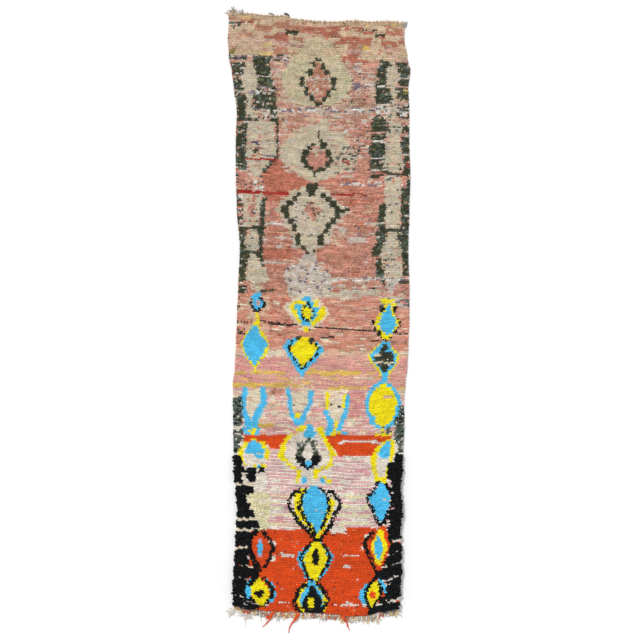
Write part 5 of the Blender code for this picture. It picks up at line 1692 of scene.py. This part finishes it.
@dataclass
class Shag:
    """The thick dark locks down both sides of the foot, lying outwards over one another and the rim."""

    plan: Plan
    chart: Chart
    colours: np.ndarray
    tree: bpy.types.NodeTree
    least: float = 0.45
    kept: float = 0.62
    reach: float = 0.017
    rise: float = 0.0055
    thickness: float = 0.0050
    spread: float = 0.30
    overhang: float = 0.003
    bulge: float = 0.004
    bulge_pitch: float = 0.056
    seed: int = 29

    def build(self) -> list:
        """Makes the locks of the left side and of the right as a piece each."""
        x = self.chart.x * CENTIMETRE
        y = self.chart.y * CENTIMETRE
        dark = self.chart.tied == YARN_NUMBER[Yarn.BLACK]
        wanted = dark & (self.plan.shag(x, y) > self.least)
        made = []
        for name, side in (("shag_left", -1.0), ("shag_right", 1.0)):
            draws = np.random.default_rng(self.seed)
            strands = Strands()
            for row, column in np.argwhere(wanted & (np.sign(x) == side)):
                if draws.random() < self.kept:
                    root = np.array([x[row, column], y[row, column]])
                    self.lock(strands, root, self.colours[row, column], side, draws)
            made.append(strands.spin(name, self.tree, 6, 2))
        return made

    def lock(self, strands: Strands, root: np.ndarray, colour: np.ndarray, side: float, draws: np.random.Generator) -> None:
        """Adds one lock.

        Args:
            strands: The set that it joins.
            root: Where it's tied.
            colour: Its linear colour.
            side: -1 on the rug's left, 1 on its right.
            draws: Where its unevenness comes from.
        """
        top = float(self.plan.pile_top(root[0], root[1]))
        heading = draws.normal(0.0, self.spread)
        way = np.array([side * math.cos(heading), math.sin(heading)])
        reach = self.reach * draws.uniform(0.55, 1.1)
        rise = self.rise * draws.uniform(0.3, 1.3)
        plan = [root + way * reach * share for share in (-0.25, 0.15, 0.6, 1.0)]
        edge = float(read_table(SIDES, 1 if side < 0.0 else 2, root[1]))
        heights = [top - 0.003, top + rise, top + 0.7 * rise, top - 0.003]
        points = np.array([[*place, height] for place, height in zip(plan, heights)])
        past = side * (points[:, 0] - edge)
        limit = self.overhang + self.bulge * math.sin(root[1] * 2.0 * math.pi / self.bulge_pitch)
        points[:, 0] = np.where(past > limit, edge + side * limit, points[:, 0])
        points[:, 2] = np.where(past > 0.0, np.maximum(0.006, points[:, 2] - 0.9 * past), points[:, 2])
        radii = self.thickness * np.array([0.8, 1.05, 1.0, 0.7]) * draws.uniform(0.8, 1.15)
        strands.add(points, radii, colour * draws.choice([0.45, 0.7, 1.0, 2.2], p=[0.3, 0.3, 0.3, 0.1]))


@dataclass
class Fringe:
    """The loose ends past one of the rug's woven ends: weft strands, knotted warp ends and tails."""

    plan: Plan
    name: str
    along: float
    away: float
    strip: float
    warps: int
    least: float
    most: float
    yarns: tuple
    tree: bpy.types.NodeTree
    knots: bpy.types.NodeTree
    seed: int
    radius: float = 0.0015
    fan: float = 0.9
    strands: Strands = field(default_factory=Strands)

    def edge(self, share: float) -> tuple[float, float]:
        """The point of the cloth's end at a share of its width."""
        x, y, _ = self.plan.place(np.array([share]), np.array([self.along]))
        return float(x[0]), float(y[0])

    def colour(self, draws: np.random.Generator) -> np.ndarray:
        """One of the fringe's yarns, a little lighter or darker."""
        return dye(self.yarns[draws.integers(len(self.yarns))]) * draws.uniform(0.85, 1.15)

    def wefts(self, draws: np.random.Generator, count: int, steps: int) -> None:
        """Lays the last weft strands along the cloth's end.

        Args:
            draws: Where their unevenness comes from.
            count: How many there are.
            steps: How many points each has.
        """
        for number in range(count):
            out = self.strip * (number + 0.5) / count
            pieces = 4
            for piece in range(pieces):
                shares = np.linspace(piece / pieces, (piece + 1) / pieces, steps) * 0.97 + 0.015
                line = [self.edge(share) for share in shares]
                points = np.array([(x, y + self.away * out, 0.0032) for x, y in line])
                points[:, 1] += draws.normal(0.0, 0.0007, steps)
                points[:, 2] += draws.normal(0.0, 0.0004, steps)
                self.strands.add(points, np.full(steps, 0.0018), self.colour(draws))

    def wander(self, start: np.ndarray, heading: float, length: float, draws: np.random.Generator) -> np.ndarray:
        """A strand's path as it lies: it starts at a height and comes down, swaying.

        Args:
            start: Its first point.
            heading: Which way it sets off, as an angle from +X.
            length: How long it is.
            draws: Where its sway comes from.

        Returns:
            Its points, a row each.
        """
        steps = max(4, int(length / 0.006) + 2)
        turns = np.cumsum(draws.normal(0.0, 0.30, steps)) + heading
        stride = length / (steps - 1)
        x = start[0] + np.concatenate([[0.0], np.cumsum(np.cos(turns[1:]) * stride)])
        y = start[1] + np.concatenate([[0.0], np.cumsum(np.sin(turns[1:]) * stride)])
        z = np.interp(np.arange(steps), (0, 2, steps), (start[2], 0.0034, 0.0027))
        return np.stack([x, y, z], axis=1)

    def ends(self, draws: np.random.Generator) -> np.ndarray:
        """Lays the warp ends and returns where their knots are."""
        knots = []
        heading = self.away * math.pi / 2.0
        for number in range(self.warps):
            x, y = self.edge((number + 0.5 + draws.uniform(-0.25, 0.25)) / self.warps)
            root = np.array([x, y + self.away * 0.001, 0.0038])
            knot = root + np.array([draws.normal(0.0, 0.002), self.away * self.strip * draws.uniform(0.6, 1.1), 0.0])
            shade = self.colour(draws)
            middle = (root + knot) / 2.0 + np.array([draws.normal(0.0, 0.003), 0.0, 0.0012])
            self.strands.add(np.array([root, middle, knot]), np.full(3, self.radius * 1.5), shade)
            knots.append((*knot, *shade))
            knots.append((*(middle + np.array([0.0, 0.0, 0.0006])), *self.colour(draws)))
            length = draws.uniform(self.least, self.most) * (1.8 if draws.random() < 0.12 else 1.0)
            for _ in range(2):
                path = self.wander(knot, heading + draws.normal(0.0, 0.45), length, draws)
                radii = self.radius * np.linspace(1.2, 0.7, len(path))
                self.strands.add(path, radii, shade * draws.uniform(0.9, 1.1))
        return np.array(knots)

    def tail(self, yarn: Yarn, points: tuple, radius: float) -> None:
        """Lays a tail of two plies twisted together.

        Args:
            yarn: What it's spun from.
            points: A few points that it passes, as x and y.
            radius: The radius of a ply.
        """
        line = np.array(points, float)
        reach = np.concatenate([[0.0], np.cumsum(np.linalg.norm(np.diff(line, axis=0), axis=1))])
        steps = int(reach[-1] / 0.004) + 2
        at = np.linspace(0.0, reach[-1], steps)
        x = np.interp(at, reach, line[:, 0])
        y = np.interp(at, reach, line[:, 1])
        thin = np.interp(at / reach[-1], (0.0, 0.25, 0.5, 1.0), (1.0, 0.90, 0.40, 0.16))
        for ply in (0.0, math.pi):
            turn = at / 0.055 * 2.0 * math.pi + ply
            side = np.cos(turn) * radius * 0.9 * thin
            up = np.sin(turn) * radius * 0.4 * thin
            path = np.stack([x + side, y + 0.3 * side, 1.5 * radius * thin + up + 0.0006], axis=1)
            self.strands.add(path, radius * thin, dye(yarn))

    def clump(self, yarn: Yarn, x: float, y: float, count: int, length: float, draws: np.random.Generator) -> None:
        """Lays a clump of short loose ends.

        Args:
            yarn: What they're spun from.
            x: Its middle across.
            y: Its middle along.
            count: How many ends it has.
            length: How long they are.
            draws: Where their unevenness comes from.
        """
        for _ in range(count):
            start = np.array([x + draws.normal(0.0, 0.005), y + draws.normal(0.0, 0.003), 0.0055])
            heading = self.away * math.pi / 2.0 + draws.normal(0.0, self.fan)
            path = self.wander(start, heading, length * draws.uniform(0.5, 1.2), draws)
            radii = self.radius * np.linspace(1.5, 0.9, len(path))
            self.strands.add(path, radii, dye(yarn) * draws.uniform(0.8, 1.15))

    def build(self, wefts: int, tails: tuple, clumps: tuple) -> list:
        """Makes the strands and their knots.

        Args:
            wefts: How many weft strands lie along the cloth's end.
            tails: Rows of yarn, points and radius.
            clumps: Rows of yarn, x, y, how many ends and how long.

        Returns:
            The strands' piece and the knots' piece.
        """
        draws = np.random.default_rng(self.seed)
        self.wefts(draws, wefts, 14)
        knots = self.ends(draws)
        for yarn, points, radius in tails:
            self.tail(yarn, points, radius)
        for yarn, x, y, count, length in clumps:
            self.clump(yarn, x, y, count, length, draws)
        laid = self.strands.spin(self.name + "_ends", self.tree, 4, 2)
        mesh = bpy.data.meshes.new(self.name + "_roots")
        lifted = knots[:, :3] + np.array([0.0, 0.0, self.radius])
        mesh.from_pydata(lifted.tolist(), [], [])
        sizes = np.tile(np.array([2.9, 3.2, 2.0]) * self.radius, (len(knots), 1))
        set_layer(mesh, SIZE_LAYER, sizes)
        set_layer(mesh, TURN_LAYER, draws.normal(0.0, 0.3, (len(knots), 3)))
        set_layer(mesh, COLOUR_LAYER, knots[:, 3:])
        settings = {"Tuft Width": 1.0, "Tuft Depth": 1.0, "Tuft Height": 1.0, "Unevenness": 0.25, "Seed": self.seed}
        return [laid, grow(self.name + "_knots", mesh, self.knots, settings)]


# Tails at the foot and at the head: yarn, points as x and y, radius of a ply
FOOT_TAILS = (
    (Yarn.ORANGE, ((-0.240, -1.482), (-0.246, -1.503), (-0.257, -1.522), (-0.272, -1.541), (-0.288, -1.555)), 0.0064),
    (Yarn.ORANGE, ((-0.108, -1.486), (-0.123, -1.514), (-0.142, -1.537), (-0.154, -1.560), (-0.156, -1.584)), 0.0064),
    (Yarn.ORANGE, ((0.112, -1.498), (0.126, -1.520), (0.136, -1.538), (0.138, -1.552), (0.148, -1.570)), 0.0062),
    (Yarn.WHITE, ((-0.384, -1.490), (-0.377, -1.515), (-0.374, -1.532), (-0.371, -1.553)), 0.0022),
    (Yarn.WHITE, ((-0.302, -1.490), (-0.296, -1.510), (-0.294, -1.524), (-0.288, -1.537)), 0.0022),
    (Yarn.WHITE, ((-0.006, -1.500), (-0.002, -1.516), (-0.003, -1.539)), 0.0020),
    (Yarn.WHITE, ((0.288, -1.500), (0.294, -1.520), (0.295, -1.535), (0.299, -1.549)), 0.0022),
)
HEAD_TAILS = (
    (Yarn.GREY, ((-0.228, 1.500), (-0.240, 1.512), (-0.256, 1.516), (-0.252, 1.509), (-0.238, 1.505)), 0.0028),
    (Yarn.CHARCOAL, ((-0.176, 1.512), (-0.160, 1.506), (-0.152, 1.492), (-0.136, 1.476)), 0.0036),
)

# Clumps of loose ends: yarn, x, y, how many ends, how long they are
FOOT_CLUMPS = (
    (Yarn.WHITE, -0.438, -1.470, 20, 0.022),
    (Yarn.PALE_CREAM, -0.446, -1.478, 12, 0.024),
    (Yarn.WHITE, -0.384, -1.486, 14, 0.026),
    (Yarn.PALE_CREAM, -0.370, -1.496, 8, 0.026),
    (Yarn.WHITE, -0.355, -1.492, 9, 0.026),
    (Yarn.ORANGE, -0.262, -1.500, 8, 0.020),
    (Yarn.WHITE, -0.214, -1.500, 6, 0.022),
    (Yarn.CREAM, -0.180, -1.502, 6, 0.018),
    (Yarn.ORANGE, -0.120, -1.500, 5, 0.014),
    (Yarn.WHITE, 0.010, -1.506, 8, 0.018),
    (Yarn.ORANGE, 0.124, -1.508, 6, 0.016),
    (Yarn.WHITE, 0.172, -1.516, 8, 0.020),
    (Yarn.CREAM, 0.290, -1.510, 8, 0.030),
    (Yarn.WHITE, 0.384, -1.480, 12, 0.024),
)
HEAD_CLUMPS = (
    (Yarn.STRAW, -0.446, 1.502, 16, 0.030),
    (Yarn.CHARCOAL_GREY, -0.434, 1.504, 9, 0.036),
    (Yarn.SAND, -0.425, 1.502, 14, 0.032),
    (Yarn.STRAW, -0.392, 1.500, 8, 0.028),
    (Yarn.CHARCOAL_GREY, -0.392, 1.506, 4, 0.026),
    (Yarn.ROSE, 0.345, 1.460, 8, 0.016),
    (Yarn.STRAW, 0.398, 1.458, 8, 0.018),
    (Yarn.GREY, 0.424, 1.450, 14, 0.022),
)


@dataclass
class Studio:
    """The pale floor, the soft light and the camera straight above the rug."""

    middle: float = -0.02
    view_width: float = 3.2
    lens: float = 85.0
    sensor: float = 36.0
    floor_half: float = 9.0
    floor_drop: float = 0.0004
    sky: float = 0.62
    sun: float = 2.0
    sun_tilt: float = 45.0
    sun_turn: float = 35.0
    sun_width: float = 12.0

    def floor(self) -> bpy.types.Object:
        """Lays a plain white floor just under the rug."""
        half = self.floor_half
        corners = [(-half, -half), (half, -half), (half, half), (-half, half)]
        mesh = bpy.data.meshes.new("floor")
        mesh.from_pydata([(x, y, -self.floor_drop) for x, y in corners], [], [(0, 1, 2, 3)])
        made = bpy.data.materials.new("floor_white")
        made.use_nodes = True
        shader = made.node_tree.nodes["Principled BSDF"]
        shader.inputs["Base Color"].default_value = (0.95, 0.95, 0.95, 1.0)
        shader.inputs["Roughness"].default_value = 0.9
        shader.inputs["Specular IOR Level"].default_value = 0.1
        mesh.materials.append(made)
        return link_object("floor", mesh)

    def lights(self) -> None:
        """Sets an even sky and one wide sun from the upper left."""
        world = bpy.data.worlds.new("soft_sky")
        world.use_nodes = True
        background = world.node_tree.nodes["Background"]
        background.inputs["Color"].default_value = (1.0, 1.0, 1.0, 1.0)
        background.inputs["Strength"].default_value = self.sky
        bpy.context.scene.world = world
        lamp = bpy.data.lights.new("soft_sun", "SUN")
        lamp.energy = self.sun
        lamp.angle = math.radians(self.sun_width)
        made = bpy.data.objects.new("soft_sun", lamp)
        made.rotation_euler = (math.radians(self.sun_tilt), 0.0, math.radians(180.0 + self.sun_turn))
        bpy.context.scene.collection.objects.link(made)

    def camera(self) -> None:
        """Hangs the camera over the rug's middle, with the rug's long side upright in the picture."""
        data = bpy.data.cameras.new("camera")
        data.lens = self.lens
        data.sensor_width = self.sensor
        made = bpy.data.objects.new("camera", data)
        made.location = (0.0, self.middle, self.view_width * self.lens / self.sensor)
        bpy.context.scene.collection.objects.link(made)
        bpy.context.scene.camera = made
        bpy.context.scene.view_settings.view_transform = "Standard"


def main() -> None:
    """Builds the rug and its surroundings in order."""
    logging.basicConfig(level=logging.INFO, format="%(message)s")
    studio = Studio()
    floor = studio.floor()
    studio.lights()
    studio.camera()

    plan = Plan()
    chart = Chart(plan)
    for motif in Pattern().motifs():
        motif.tie(chart)
    colours = chart.colours()

    cloth = dress(GroundCloth(plan, chart, colours).build(), "knotted_pile", "rug")
    pile_tree = knot_tree(PILE_FINISH.material())
    shag_tree = strand_tree(SHAG_FINISH.material())
    fringe_yarn = FRINGE_FINISH.material()
    end_tree = strand_tree(fringe_yarn)
    end_knots = knot_tree(fringe_yarn)
    pieces = Pile(plan, chart, colours, pile_tree).build()
    pieces += Shag(plan, chart, colours, shag_tree).build()
    for piece in pieces:
        dress(piece, "knotted_pile")

    pale = (Yarn.CREAM, Yarn.SAND, Yarn.GREY, Yarn.ROSE, Yarn.WHITE, Yarn.STRAW_YELLOW, Yarn.SALMON)
    pale += (Yarn.MUSTARD, Yarn.ORANGE, Yarn.PALE_CREAM, Yarn.GREY)
    foot = Fringe(plan, "foot_fringe", 0.0, -1.0, 0.022, 92, 0.007, 0.016, pale, end_tree, end_knots, 41, 0.0019)
    foot_pieces = foot.build(3, FOOT_TAILS, FOOT_CLUMPS)
    worn = (Yarn.STRAW, Yarn.SAND, Yarn.PALE_ROSE)
    head = Fringe(plan, "head_fringe", 1.0, 1.0, 0.006, 70, 0.003, 0.006, worn, end_tree, end_knots, 43, 0.0013, 0.35)
    head_pieces = head.build(1, HEAD_TAILS, HEAD_CLUMPS)
    for piece in foot_pieces:
        dress(piece, "fringe", "bottom_fringe")
    for piece in head_pieces:
        dress(piece, "fringe", "top_fringe")


if __name__ == "__main__":
    main()
